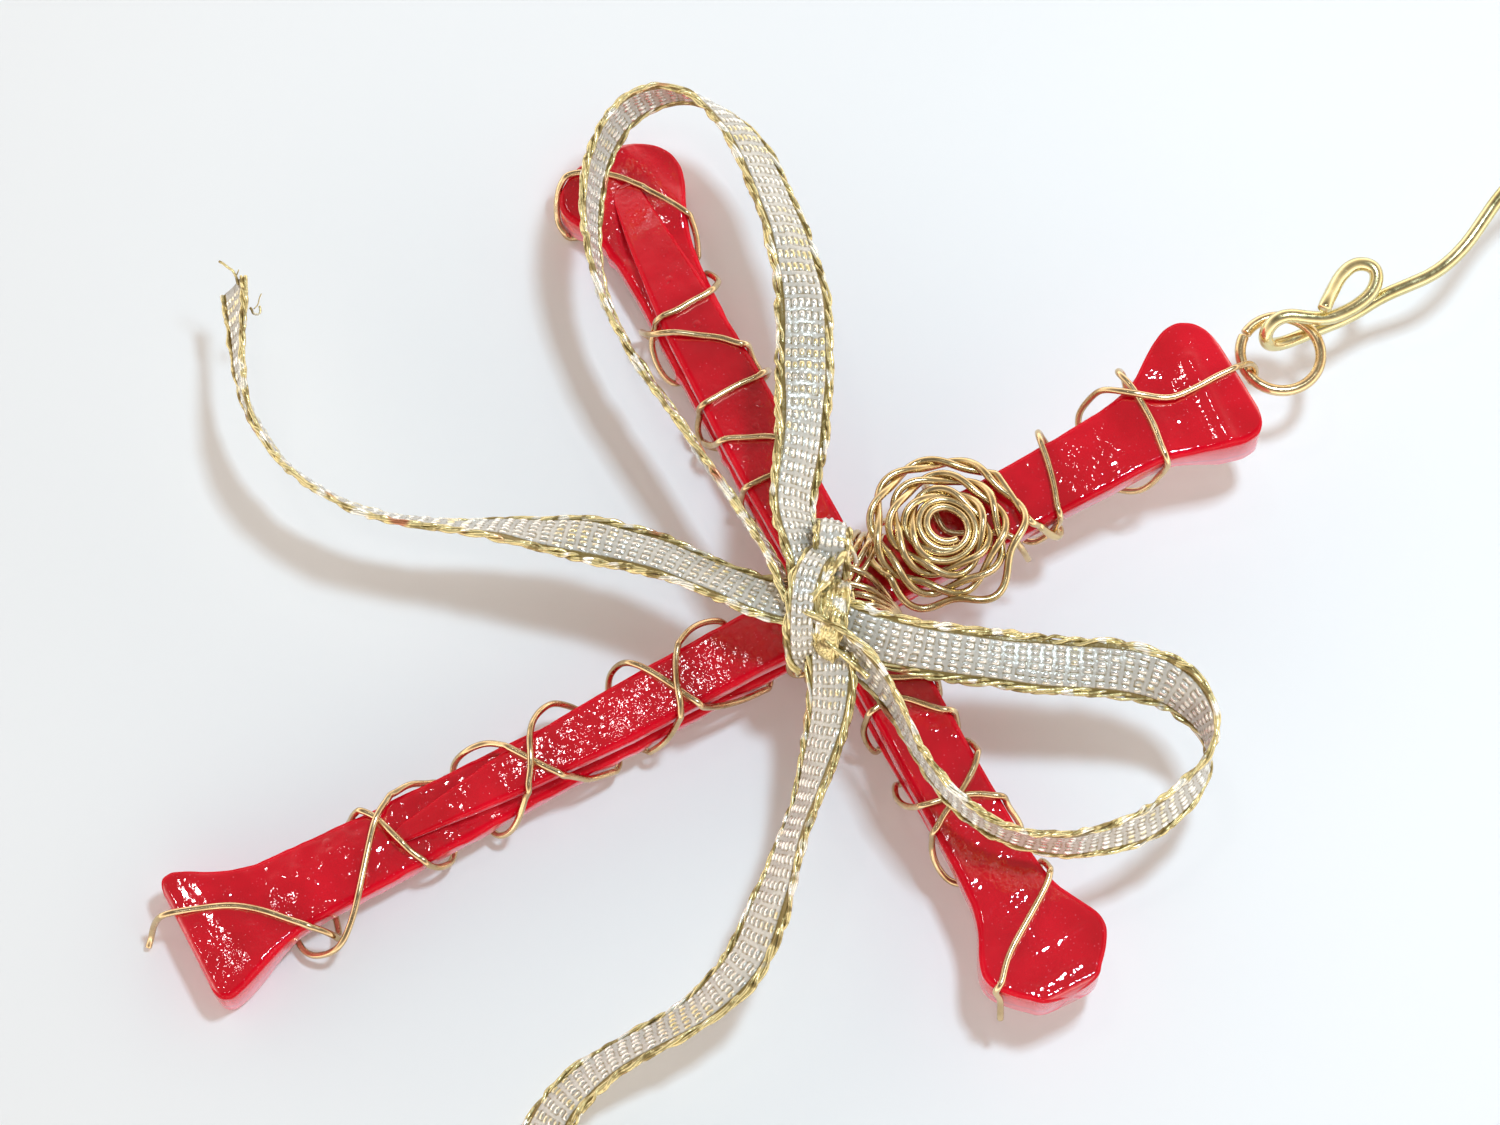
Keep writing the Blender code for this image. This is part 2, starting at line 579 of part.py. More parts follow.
def knot_mesh(name, height):
    """Rounded lump of the knot, with a raised band across its middle."""
    mesh = bpy.data.meshes.new(name)
    shape = bmesh.new()
    bmesh.ops.create_uvsphere(shape, u_segments=14, v_segments=9, radius=1.0)
    for vert in shape.verts:
        x, y, z = vert.co
        band = 1.0 + 0.12 * math.exp(-(x / 0.35) ** 2) - 0.10 * math.exp(-((abs(x) - 0.62) / 0.2) ** 2)
        x = math.copysign(abs(x) ** 0.8, x) * 0.5 * KNOT_SIZE[0]
        y = math.copysign(abs(y) ** 0.8, y) * 0.5 * KNOT_SIZE[1] * band
        z = math.copysign(abs(z) ** 0.8, z) * 0.5 * KNOT_SIZE[2] * band
        vert.co = (KNOT_CENTRE[0] + x * math.cos(KNOT_TURN) - y * math.sin(KNOT_TURN),
                   KNOT_CENTRE[1] + x * math.sin(KNOT_TURN) + y * math.cos(KNOT_TURN), height + z)
    shape.to_mesh(mesh)
    shape.free()
    return mesh


def ribbon_bow(height):
    """One ribbon tied in a bow: the knot joined with its two loops and two tails."""
    bow = make_object("ribbon_bow", knot_mesh("ribbon_bow", height), "ribbon", RIBBON_SILVER)
    stretches = (("left_tail", LEFT_TAIL), ("lower_tail", LOWER_TAIL),
                 ("right_loop", RIGHT_LOOP), ("upper_loop", UPPER_LOOP))
    for name, controls in stretches:
        band = bpy.data.objects.new(name, ribbon_mesh(name, controls))
        bpy.context.scene.collection.objects.link(band)
        band.hide_render = True
        band.display_type = "WIRE"
        join = bow.modifiers.new(name, "BOOLEAN")
        join.operation = "UNION"
        join.use_self = True
        join.object = band
    return bow


def centre_on_surface():
    """Move every piece so that the surface is z = 0 and the box is centred on the origin."""
    depsgraph = bpy.context.evaluated_depsgraph_get()
    shown = [item for item in bpy.data.objects if not item.hide_render]
    corners = []
    for item in shown:
        corners += [Vector(corner) for corner in item.evaluated_get(depsgraph).bound_box]
    low = [min(corner[axis] for corner in corners) for axis in range(3)]
    high = [max(corner[axis] for corner in corners) for axis in range(3)]
    shift = Vector((-0.5 * (low[0] + high[0]), -0.5 * (low[1] + high[1]), -low[2]))
    for item in bpy.data.objects:
        item.data.transform(Matrix.Translation(shift))


def main():
    """Build every piece of the ornament."""
    clear_scene()
    left, foot, right, top = build_stack()
    for nail in (left, foot, right, top):
        make_object(nail.name, nail_mesh(nail), "paint_" + nail.name, RED_PAINT)
    arms = (("wire_foot_arm", Arm(foot, top), FOOT_WIRE), ("wire_left_arm", Arm(left, right), LEFT_WIRE),
            ("wire_top_arm", Arm(top, foot), TOP_WIRE), ("wire_right_arm", Arm(right, left), RIGHT_WIRE))
    for name, arm, laid in arms:
        mesh = wire_mesh(name, arm_wire(arm, *laid), WIRE, WIRE_SIDES)
        make_object(name, mesh, "gold_" + name, BINDING_GOLD)
    low = left.under(LEFT_REACH)
    high = top.top(TOP_REACH - 0.6 * LASH_REACH)
    lashing = thin_route(lashing_route(low, high), LASH_BEND, WIRE_LONGEST)
    make_object("wire_centre", wire_mesh("wire_centre", lashing, WIRE, WIRE_SIDES),
                "gold_wire_centre", BINDING_GOLD)
    for letter, phase in (("a", 0.0), ("b", math.pi)):
        name = "coil_strand_" + letter
        make_object(name, wire_mesh(name, coil_route(phase, top), COIL_STRAND, WIRE_SIDES),
                    "gold_" + name, BINDING_GOLD)
    centre = ring_centre(top)
    make_object("jump_ring", wire_mesh("jump_ring", ring_route(centre), RING_WIRE, 8), "gold_jump_ring",
                BINDING_GOLD)
    make_object("hook", wire_mesh("hook", hook_route(centre), HOOK_WIRE, 8), "gold_hook", HOOK_GOLD)
    lash_top = high + 2.0 * (WIRE + WIRE_GAP)
    ribbon_bow(lash_top + WIRE_GAP + 0.56 * KNOT_SIZE[2])
    centre_on_surface()


main()
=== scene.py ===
"""Looks of the horseshoe nail cross ornament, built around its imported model.

Sizes and routes are in millimetres from the point where the nails cross, with +Y up the
stem, +X towards the head of the right nail and z = 0 on the table. A route becomes
metres in the model's own frame only when its mesh is made.
"""

import logging
import math
from dataclasses import dataclass, field, fields
from enum import Enum

import bpy
import numpy as np
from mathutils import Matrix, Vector
from numpy.typing import NDArray


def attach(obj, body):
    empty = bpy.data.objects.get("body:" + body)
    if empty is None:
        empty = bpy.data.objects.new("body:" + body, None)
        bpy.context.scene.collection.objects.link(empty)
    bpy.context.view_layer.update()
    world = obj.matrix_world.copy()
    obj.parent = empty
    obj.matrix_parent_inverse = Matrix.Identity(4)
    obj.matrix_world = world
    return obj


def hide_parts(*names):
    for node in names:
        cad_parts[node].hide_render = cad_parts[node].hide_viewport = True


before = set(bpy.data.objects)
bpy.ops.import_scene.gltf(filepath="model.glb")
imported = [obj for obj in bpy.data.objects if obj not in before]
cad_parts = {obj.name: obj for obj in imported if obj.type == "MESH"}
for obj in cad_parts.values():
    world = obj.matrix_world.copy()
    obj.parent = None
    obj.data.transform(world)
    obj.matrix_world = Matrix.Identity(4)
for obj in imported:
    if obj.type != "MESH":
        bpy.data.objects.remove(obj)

Array = NDArray[np.float64]
Triple = tuple[float, float, float]
Rows = tuple[Triple, ...]
BankedRows = tuple[tuple[float, float, float, float], ...]
Pairs = tuple[tuple[float, float], ...]
Turns = tuple[tuple[Rows, tuple[float, float]], ...]
Link = bpy.types.NodeSocket

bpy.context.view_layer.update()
LOG = logging.getLogger("nail_cross")

# Place of the crossing in the model's frame, in millimetres
CROSSING = np.array([4.018452, -8.176171, 0.0])

# How much one step to the right in the photograph goes along x and along y
PHOTO_RIGHT = (0.473, 0.881)

UP = np.array([0.0, 0.0, 1.0])

# Rings that round the end of a wire, as shares of its radius, and how far they reach past it
END_RINGS = np.array([0.35, 0.72, 0.93])
END_REACH = 0.35


def as_array(rows: object) -> Array:
    """Rows of numbers as an array of floats."""
    return np.array(rows, dtype=float)


def to_model(points: Array) -> Array:
    """Points in millimetres from the crossing, as metres in the model's frame."""
    return (points + CROSSING) * 0.001


def unit(vectors: Array) -> Array:
    """Each row divided by its own length."""
    return vectors / np.maximum(np.linalg.norm(vectors, axis=-1, keepdims=True), 1e-12)


def lattice_value(cells: NDArray[np.int64], seed: int) -> Array:
    """Even pseudo-random value from 0 to 1 for each whole-number cell.

    The coordinates are multiplied by large odd numbers, mixed with shifts and exclusive
    or, and the low bits give the value.

    Args:
        cells: whole numbers, one row for each cell.
        seed: chooses one of many different sets of values.

    Returns:
        One value for each cell.
    """
    factors = np.array([374761393, 668265263, 2147483647])[: cells.shape[-1]]
    mixed = (cells * factors).sum(axis=-1) + seed * 1274126177
    mixed = (mixed ^ (mixed >> 13)) * 1103515245
    mixed = (mixed ^ (mixed >> 16)) & 0xFFFFFF
    return mixed / float(0xFFFFFF)


def soft_noise(points: Array, size: float, seed: int) -> Array:
    """Smooth noise from -1 to 1 whose lumps are about size across.

    The values at the eight corners of each cell are blended with the smooth step
    3t^2 - 2t^3 along each axis.

    Args:
        points: places in millimetres, one row each.
        size: width of a lump.
        seed: chooses the pattern.

    Returns:
        One value for each place.
    """
    scaled = points / size
    base = np.floor(scaled).astype(np.int64)
    share = scaled - base
    share = share * share * (3.0 - 2.0 * share)
    total = np.zeros(points.shape[:-1])
    for corner in np.ndindex(*([2] * points.shape[-1])):
        pick = np.array(corner)
        weight = np.prod(np.where(pick == 1, share, 1.0 - share), axis=-1)
        total += weight * lattice_value(base + pick, seed)
    return 2.0 * total - 1.0


def noise_along(travelled: Array, row: float, size: float, seed: int) -> Array:
    """Soft noise along a line, with a different course for each row."""
    return soft_noise(np.stack([travelled, np.full(travelled.shape, float(row))], axis=-1), size, seed)


def blurred(values: Array, width: float) -> Array:
    """Values smoothed along their first axis by a bell curve of that width in steps."""
    reach = int(3 * width) + 1
    offsets = np.arange(-reach, reach + 1)
    bell = np.exp(-0.5 * (offsets / width) ** 2)
    bell /= bell.sum()
    padded = np.concatenate([np.repeat(values[:1], reach, 0), values, np.repeat(values[-1:], reach, 0)])
    columns = padded.reshape(len(padded), -1)
    smooth = np.stack([np.convolve(column, bell, mode="valid") for column in columns.T], axis=-1)
    return smooth.reshape(values.shape)


def spline(rows: Array, samples: int = 24) -> Array:
    """Catmull-Rom curve through the rows.

    Each span blends the row before it, its two ends and the row after it with cubic
    weights of the share t along the span.

    Args:
        rows: points, with any further columns that run along with them.
        samples: points for each span.

    Returns:
        The dense rows, the last control row included.
    """
    ends = np.vstack([2 * rows[0] - rows[1], rows, 2 * rows[-1] - rows[-2]])
    before, start, stop, after = ends[:-3], ends[1:-2], ends[2:-1], ends[3:]
    t = np.linspace(0.0, 1.0, samples, endpoint=False)[None, :, None]
    spans = 0.5 * (2 * start[:, None] + (stop - before)[:, None] * t
                   + (2 * before - 5 * start + 4 * stop - after)[:, None] * t ** 2
                   + (3 * start - before - 3 * stop + after)[:, None] * t ** 3)
    return np.vstack([spans.reshape(-1, rows.shape[1]), rows[-1:]])


def evenly(rows: Array, step: float) -> Array:
    """Rows resampled so that their points lie about one step apart."""
    gaps = np.linalg.norm(np.diff(rows[:, :3], axis=0), axis=1)
    travelled = np.concatenate([[0.0], np.cumsum(gaps)])
    count = max(2, int(round(travelled[-1] / step)) + 1)
    even = np.linspace(0.0, travelled[-1], count)
    return np.column_stack([np.interp(even, travelled, column) for column in rows.T])


def smooth_route(rows: Array, step: float, soften: float = 0.0) -> Array:
    """Even smooth route through control rows, softened over a length if one is given."""
    route = evenly(spline(rows), step)
    if soften > 0.0:
        ends = route[[0, -1]].copy()
        route = blurred(route, soften / step)
        route[[0, -1]] = ends
    return route


def directions(points: Array) -> Array:
    """Unit direction of travel at each point of a route."""
    return unit(np.gradient(points, axis=0))


def pointing(turn: float, rise: float) -> Array:
    """Unit direction with a turn from +X and a rise from the table, both in degrees."""
    turn, rise = math.radians(turn), math.radians(rise)
    return np.array([math.cos(turn) * math.cos(rise), math.sin(turn) * math.cos(rise), math.sin(rise)])


def carried_sides(travel: Array) -> Array:
    """Side vectors that are carried along a route without twisting about it.

    Each side is the one before it with its part along the new direction taken off.

    Args:
        travel: unit direction at each station.

    Returns:
        A unit side vector at each station.
    """
    start = np.cross(travel[0], UP)
    if np.linalg.norm(start) < 0.1:
        start = np.cross(travel[0], [0.0, 1.0, 0.0])
    sides = np.empty_like(travel)
    side = start / np.linalg.norm(start)
    for station, ahead in enumerate(travel):
        side = side - ahead * np.dot(side, ahead)
        side = side / np.linalg.norm(side)
        sides[station] = side
    return sides


def linked(name: str, data: bpy.types.ID) -> bpy.types.Object:
    """New object for a mesh, light or camera, linked to the scene."""
    made = bpy.data.objects.new(name, data)
    bpy.context.scene.collection.objects.link(made)
    return made


def closed_mesh(name: str, grid: Array, marks: dict[str, Array] | None = None) -> bpy.types.Object:
    """Object whose skin runs round a grid of rings, with a pole at each end.

    Args:
        name: name of the object and its mesh.
        grid: stations by points round the ring by x, y, z, in millimetres.
        marks: named values for each grid point, kept as attributes of the mesh.

    Returns:
        The object, linked to the scene, with its faces pointing outwards.
    """
    stations, around = grid.shape[:2]
    vertices = np.vstack([grid.reshape(-1, 3), grid[0].mean(axis=0), grid[-1].mean(axis=0)])
    row = np.arange(stations - 1)[:, None] * around
    ring = np.arange(around)
    after = (ring + 1) % around
    quads = np.stack([row + ring, row + after, row + around + after, row + around + ring], axis=-1)
    quads = quads.reshape(-1, 4)
    last = (stations - 1) * around
    poles = np.full((2, around), stations * around) + [[0], [1]]
    start_fan = np.stack([poles[0], after, ring], axis=-1)
    end_fan = np.stack([poles[1], last + ring, last + after], axis=-1)
    first, second, third, fourth = (vertices[quads[:, corner]] for corner in range(4))
    inside_out = (first * (np.cross(second, third) + np.cross(third, fourth))).sum() < 0.0
    faces = []
    for part in (quads, start_fan, end_fan):
        faces += (part[:, ::-1] if inside_out else part).tolist()
    mesh = bpy.data.meshes.new(name)
    mesh.from_pydata(to_model(vertices).tolist(), [], faces)
    mesh.shade_smooth()
    for label, values in (marks or {}).items():
        flat = np.concatenate([values.reshape(-1), [values[0].mean(), values[-1].mean()]])
        mesh.attributes.new(label, "FLOAT", "POINT").data.foreach_set("value", flat.astype(np.float32))
    return linked(name, mesh)


def tube_grid(route: Array, radius: float, sides: int, swell: Array | None = None) -> Array:
    """Rings of a round wire along a route, with its two ends rounded over.

    A ring point is the station plus the radius times (side cos a + other sin a). Past
    each end three smaller rings follow a quarter of an ellipse.

    Args:
        route: even points in millimetres.
        radius: radius of the wire.
        sides: points round each ring.
        swell: share by which the radius changes at each station.

    Returns:
        Stations by sides by x, y, z.
    """
    travel = directions(route)
    side = carried_sides(travel)
    other = np.cross(travel, side)
    radii = np.full(len(route), radius) * (1.0 if swell is None else 1.0 + swell)
    angle = np.linspace(0.0, 2.0 * math.pi, sides, endpoint=False)[:, None]
    ring = side[:, None] * np.cos(angle) + other[:, None] * np.sin(angle)
    body = route[:, None] + ring * radii[:, None, None]
    past = np.sqrt(1.0 - END_RINGS ** 2) * END_REACH * radius
    caps = []
    for end, way in ((0, -1.0), (-1, 1.0)):
        middles = route[end] + way * travel[end] * past[:, None]
        caps.append(middles[:, None] + ring[end] * (END_RINGS * radii[end])[:, None, None])
    return np.concatenate([caps[0], body, caps[1][::-1]])


def show_piece(piece: bpy.types.Object, look: bpy.types.Material, slot: str,
               *nodes: str) -> bpy.types.Object:
    """Give a finished piece its material, attach it to the root and hide the solids that it stands for."""
    piece.data.materials.clear()
    piece.data.materials.append(look)
    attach(piece, "root")
    if nodes:
        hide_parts(*nodes)
    piece.data.calc_loop_triangles()
    LOG.info("%s: %d triangles", piece.name, len(piece.data.loop_triangles))
    return piece


class Socket(Enum):
    """Kinds of socket that the shared node groups use."""

    COLOUR = "NodeSocketColor"
    VALUE = "NodeSocketFloat"


@dataclass
class NodeWriter:
    """Adds nodes to a tree and joins them."""

    tree: bpy.types.NodeTree

    def add(self, kind: str, inputs: dict[str, object] | None = None, **settings: object) -> bpy.types.Node:
        """New node of a kind, with its settings and the values of its inputs."""
        node = self.tree.nodes.new(kind)
        for key, setting in settings.items():
            setattr(node, key, setting)
        for key, value in (inputs or {}).items():
            node.inputs[key].default_value = value
        return node

    def join(self, output: Link, target: Link) -> None:
        """Link an output to an input."""
        self.tree.links.new(output, target)

    def place(self, space: str) -> Link:
        """Texture coordinate output of that name."""
        return self.add("ShaderNodeTexCoord").outputs[space]

    def mark(self, name: str) -> Link:
        """Value that the mesh keeps under that name."""
        return self.add("ShaderNodeAttribute", attribute_name=name).outputs["Fac"]

    def noise(self, where: Link, scale: float, detail: float, rough: float = 0.5) -> Link:
        """Value of a noise texture read at a place."""
        node = self.add("ShaderNodeTexNoise", {"Scale": scale, "Detail": detail, "Roughness": rough})
        self.join(where, node.inputs["Vector"])
        return node.outputs["Fac"]

    def cells(self, where: Link, scale: float) -> tuple[Link, bpy.types.NodeOutputs]:
        """Distance to the middle of the nearest cell, and that cell's own three random values."""
        node = self.add("ShaderNodeTexVoronoi", {"Scale": scale}, feature="F1")
        self.join(where, node.inputs["Vector"])
        split = self.add("ShaderNodeSeparateColor")
        self.join(node.outputs["Color"], split.inputs["Color"])
        return node.outputs["Distance"], split.outputs

    def between(self, value: Link, low: float, high: float,
                to_low: float = 0.0, to_high: float = 1.0) -> Link:
        """Value stretched from one range to another and held inside it."""
        node = self.add("ShaderNodeMapRange", {
            "From Min": low, "From Max": high, "To Min": to_low, "To Max": to_high})
        self.join(value, node.inputs["Value"])
        return node.outputs["Result"]

    def maths(self, operation: str, first: Link, second: Link | float) -> Link:
        """Result of an operation on two values."""
        node = self.add("ShaderNodeMath", operation=operation)
        self.join(first, node.inputs[0])
        if isinstance(second, float):
            node.inputs[1].default_value = second
        else:
            self.join(second, node.inputs[1])
        return node.outputs[0]

    def blend(self, share: Link, first: object, second: object) -> Link:
        """Colour that goes from the first to the second with the share."""
        node = self.add("ShaderNodeMix", data_type="RGBA")
        self.join(share, node.inputs["Factor"])
        for socket, colour in ((node.inputs["A"], first), (node.inputs["B"], second)):
            if isinstance(colour, tuple):
                socket.default_value = (*colour, 1.0)
            else:
                self.join(colour, socket)
        return node.outputs["Result"]

    def bump(self, height: Link, strength: float, distance: float, under: Link | None = None) -> Link:
        """Normal of a surface raised by a height."""
        node = self.add("ShaderNodeBump", {"Strength": strength, "Distance": distance})
        self.join(height, node.inputs["Height"])
        if under is not None:
            self.join(under, node.inputs["Normal"])
        return node.outputs["Normal"]


def new_material(name: str, constants: dict[str, float]
                 ) -> tuple[bpy.types.Material, NodeWriter, bpy.types.NodeInputs]:
    """New material with some of its shader's inputs set.

    Args:
        name: name of the material.
        constants: inputs that hold one number all over the surface.

    Returns:
        The material, the writer of its tree and the inputs of its shader.
    """
    made = bpy.data.materials.new(name)
    made.use_nodes = True
    inputs = made.node_tree.nodes["Principled BSDF"].inputs
    for key, number in constants.items():
        inputs[key].default_value = number
    return made, NodeWriter(made.node_tree), inputs


def node_group(name: str, sockets: tuple[tuple[str, str, Socket, object], ...]
               ) -> tuple[NodeWriter, dict[str, Link], dict[str, Link]]:
    """New shader node group with named inputs and outputs.

    Args:
        name: name of the group.
        sockets: name, IN or OUT, kind and default of each socket.

    Returns:
        The writer of its tree, its inputs by name and its outputs by name.
    """
    tree = bpy.data.node_groups.new(name, "ShaderNodeTree")
    for label, way, kind, default in sockets:
        made = tree.interface.new_socket(label, in_out=way + "PUT", socket_type=kind.value)
        if default is not None:
            made.default_value = default
    writer = NodeWriter(tree)
    entry, leave = writer.add("NodeGroupInput"), writer.add("NodeGroupOutput")
    return (writer, {socket.name: socket for socket in entry.outputs},
            {socket.name: socket for socket in leave.inputs})


def drawn_wire_group() -> bpy.types.NodeTree:
    """Group for drawn wire: a colour that drifts to brown, and fine lengthwise scratches."""
    writer, into, out = node_group("drawn_wire", (
        ("Bright", "IN", Socket.COLOUR, (0.8, 0.55, 0.25, 1.0)),
        ("Worn", "IN", Socket.COLOUR, (0.3, 0.15, 0.05, 1.0)),
        ("Wear", "IN", Socket.VALUE, 0.4),
        ("Colour", "OUT", Socket.COLOUR, None),
        ("Roughness", "OUT", Socket.VALUE, None),
        ("Height", "OUT", Socket.VALUE, None)))
    where = writer.place("Object")
    broad = writer.between(writer.noise(where, 420.0, 3.0, 0.6), 0.42, 0.75)
    fine = writer.noise(where, 2600.0, 2.0, 0.6)
    share = writer.maths("MULTIPLY", broad, into["Wear"])
    writer.join(writer.blend(share, into["Bright"], into["Worn"]), out["Colour"])
    writer.join(writer.between(fine, 0.3, 0.8, 0.14, 0.34), out["Roughness"])
    writer.join(fine, out["Height"])
    return writer.tree


@dataclass(frozen=True)
class WireFinish:
    """Metal of a wire: its bright and worn colours and how much it is worn."""

    name: str
    bright: Triple
    worn: Triple
    wear: float

    def material(self, group: bpy.types.NodeTree) -> bpy.types.Material:
        """Material of the wire, from the shared group of drawn wire."""
        made, writer, shader = new_material(self.name, {"Metallic": 1.0})
        inputs = {"Bright": (*self.bright, 1.0), "Worn": (*self.worn, 1.0), "Wear": self.wear}
        drawn = writer.add("ShaderNodeGroup", inputs, node_tree=group).outputs
        writer.join(drawn["Colour"], shader["Base Color"])
        writer.join(drawn["Roughness"], shader["Roughness"])
        writer.join(writer.bump(drawn["Height"], 0.25, 0.00001), shader["Normal"])
        return made


@dataclass(frozen=True)
class EnamelFinish:
    """Thick glossy paint with painted glints, a painted reflection down its sides, and small bubbles under
    its skin.

    relief is the depth of the skin's unevenness in metres.
    """

    name: str = "red_enamel"
    deep: Triple = (0.50, 0.001, 0.009)
    bright: Triple = (0.70, 0.0025, 0.017)
    sparkle: Triple = (0.95, 0.22, 0.30)
    # colours of the painted reflection on the sides, and of a darker line within it
    pale: Triple = (0.86, 0.56, 0.68)
    seam: Triple = (0.42, 0.20, 0.28)
    relief: float = 0.00003

    def material(self) -> bpy.types.Material:
        """Material of the paint: saturated on top, paler down the sides as a painted reflection, under a
        glossy skin.
        """
        made, writer, shader = new_material(self.name, {
            "Specular IOR Level": 0.0, "Coat Roughness": 0.05, "Coat IOR": 1.9, "Roughness": 0.5})
        where = writer.place("Object")
        cloud = writer.between(writer.noise(where, 240.0, 3.0, 0.55), 0.3, 0.7)
        colour = writer.blend(cloud, self.deep, self.bright)
        # A few of the smallest cells get painted glints: lighter pink dots in the base colour
        from_glint_cell, glint_cell = writer.cells(where, 7000.0)
        glint_spot = writer.maths("MULTIPLY", writer.between(glint_cell["Red"], 0.93, 0.96),
                            writer.between(from_glint_cell, 0.45, 0.2))
        colour = writer.blend(writer.maths("MULTIPLY", glint_spot, 0.2), colour, self.sparkle)
        writer.join(writer.between(writer.mark("rim"), 0.0, 0.6, 1.0, 0.12), shader["Coat Weight"])
        # The sides get paler downwards as a painted reflection of the table, with a thin duller painted line
        # within that reflection
        blotch = writer.maths("MULTIPLY", writer.noise(where, 330.0, 2.0), 0.3)
        uneven = writer.maths("ADD", writer.mark("side"), blotch)
        colour = writer.blend(writer.between(uneven, 0.38, 0.85, 0.0, 0.36), colour, self.pale)
        from_reflection_line = writer.maths("ABSOLUTE", writer.maths("SUBTRACT", uneven, 0.78), 0.0)
        colour = writer.blend(writer.between(from_reflection_line, 0.02, 0.05, 0.5, 0.0), colour, self.seam)
        writer.join(colour, shader["Base Color"])
        # The skin has broad waves, orange peel in patches, and scattered bubbles
        patch = writer.between(writer.noise(where, 150.0, 1.0), 0.46, 0.60, 0.3, 1.2)
        skin = writer.noise(where, 1000.0, 1.5, 0.5)
        peel = writer.maths("MULTIPLY", writer.noise(where, 3000.0, 1.5, 0.5), patch)
        from_bubble, bubble = writer.cells(where, 1250.0)
        dome = writer.between(writer.maths("POWER", from_bubble, 2.0), 0.0, 0.12, 1.0, 0.0)
        dome = writer.maths("MULTIPLY", dome, writer.between(bubble["Green"], 0.84, 0.90))
        normal = None
        for height in (skin, peel, dome):
            normal = writer.bump(height, 1.0, self.relief, normal)
        for socket in ("Normal", "Coat Normal"):
            writer.join(normal, shader[socket])
        return made


@dataclass(frozen=True)
class WeaveFinish:
    """Silvery metallic floats, a dull whitish weft between them, and gaps darkened as painted shade."""

    name: str = "ribbon_weave"
    silver: Triple = (0.90, 0.875, 0.80)
    straw: Triple = (0.80, 0.68, 0.36)
    weft: Triple = (0.53, 0.50, 0.44)
    # dark colour painted into the gaps between floats as shade
    gap: Triple = (0.22, 0.15, 0.04)

    def material(self) -> bpy.types.Material:
        """Material of the band, read from the height of its weave."""
        made, writer, shader = new_material(self.name, {})
        height, where = writer.mark("weave"), writer.place("Object")
        broad = writer.noise(where, 230.0, 2.0, 0.5)
        fine = writer.noise(where, 1500.0, 2.0, 0.6)
        tint = writer.between(writer.maths("ADD", broad, writer.maths("MULTIPLY", fine, 0.5)), 0.78, 0.92)
        floats = writer.blend(tint, self.silver, self.straw)
        body = writer.blend(writer.between(height, 0.40, 0.58), self.weft, floats)
        # Painted shade: the lowest parts between the floats are darkened
        body = writer.blend(writer.between(height, 0.10, 0.34), self.gap, body)
        writer.join(body, shader["Base Color"])
        writer.join(writer.between(height, 0.38, 0.55, 0.15, 0.85), shader["Metallic"])
        writer.join(writer.between(fine, 0.3, 0.7, 0.18, 0.36), shader["Roughness"])
        writer.join(writer.bump(writer.noise(where, 4200.0, 2.0, 0.6), 0.7, 0.00004), shader["Normal"])
        return made


@dataclass(frozen=True)
class LamellaFinish:
    """Flat gold yarn of the ribbon's edges, with dark and coppery stretches and whitish painted highlights.
    """

    name: str = "ribbon_edge"
    gold: Triple = (0.74, 0.62, 0.30)
    dark: Triple = (0.30, 0.22, 0.08)
    copper: Triple = (0.50, 0.20, 0.10)
    # whitish colour of the painted highlights
    pale: Triple = (0.88, 0.84, 0.72)

    def material(self) -> bpy.types.Material:
        """Material of the edge yarn."""
        made, writer, shader = new_material(self.name, {"Metallic": 0.6})
        where = writer.place("Object")
        drift = writer.noise(where, 1300.0, 2.0, 0.65)
        rare = writer.noise(where, 300.0, 1.0, 0.5)
        light = writer.noise(where, 700.0, 1.0, 0.5)
        colour = writer.blend(writer.between(drift, 0.52, 0.60), self.gold, self.dark)
        # Whitish spots on the gold are painted highlights
        colour = writer.blend(writer.between(light, 0.58, 0.64), colour, self.pale)
        colour = writer.blend(writer.between(rare, 0.69, 0.74), colour, self.copper)
        writer.join(colour, shader["Base Color"])
        writer.join(writer.between(drift, 0.3, 0.7, 0.16, 0.32), shader["Roughness"])
        writer.join(writer.bump(writer.noise(where, 2600.0, 1.0), 1.0, 0.00006), shader["Normal"])
        return made


# Half widths of a nail from the middle of its shank to its point, by distance from the head's end
SHANK = ((43.0, 1.75), (50.0, 1.3), (55.0, 0.7), (57.0, 0.4))


@dataclass(frozen=True)
class NailForm:
    """Thicknesses that all four nails share, along the way from the end of the head."""

    length: float = 57.0
    head: float = 5.8
    seat: float = 1.1
    crown: float = 0.25
    neck_thick: float = 1.8
    shank_thick: float = 0.95
    point: float = 14.0
    point_thick: float = 0.55

    def thickness(self, s: Array) -> Array:
        """Thickness at s: straight taper from the head to the point, then a faster one."""
        return np.interp(s, [self.head, self.length - self.point, self.length],
                         [self.neck_thick, self.shank_thick, self.point_thick])

    def drop(self, s: Array) -> Array:
        """How far the underside of the head hangs below the shank's."""
        return self.seat * np.clip((self.head - s) / (0.45 * self.head), 0.0, 1.0)


@dataclass(frozen=True)
class Dent:
    """Long low ridge or groove on the top of a nail, from one place to another."""

    start: tuple[float, float]
    stop: tuple[float, float]
    width: float
    height: float

    def relief(self, s: Array, across: Array) -> Array:
        """Height that falls off as a bell curve of the distance from its line."""
        first, along = as_array(self.start), as_array(self.stop) - as_array(self.start)
        reach = np.linalg.norm(along)
        along = along / reach
        ahead, aside = s - first[0], across - first[1]
        travelled = np.clip(ahead * along[0] + aside * along[1], 0.0, reach)
        squared = (ahead - travelled * along[0]) ** 2 + (aside - travelled * along[1]) ** 2
        return self.height * np.exp(-squared / (2.0 * self.width ** 2))


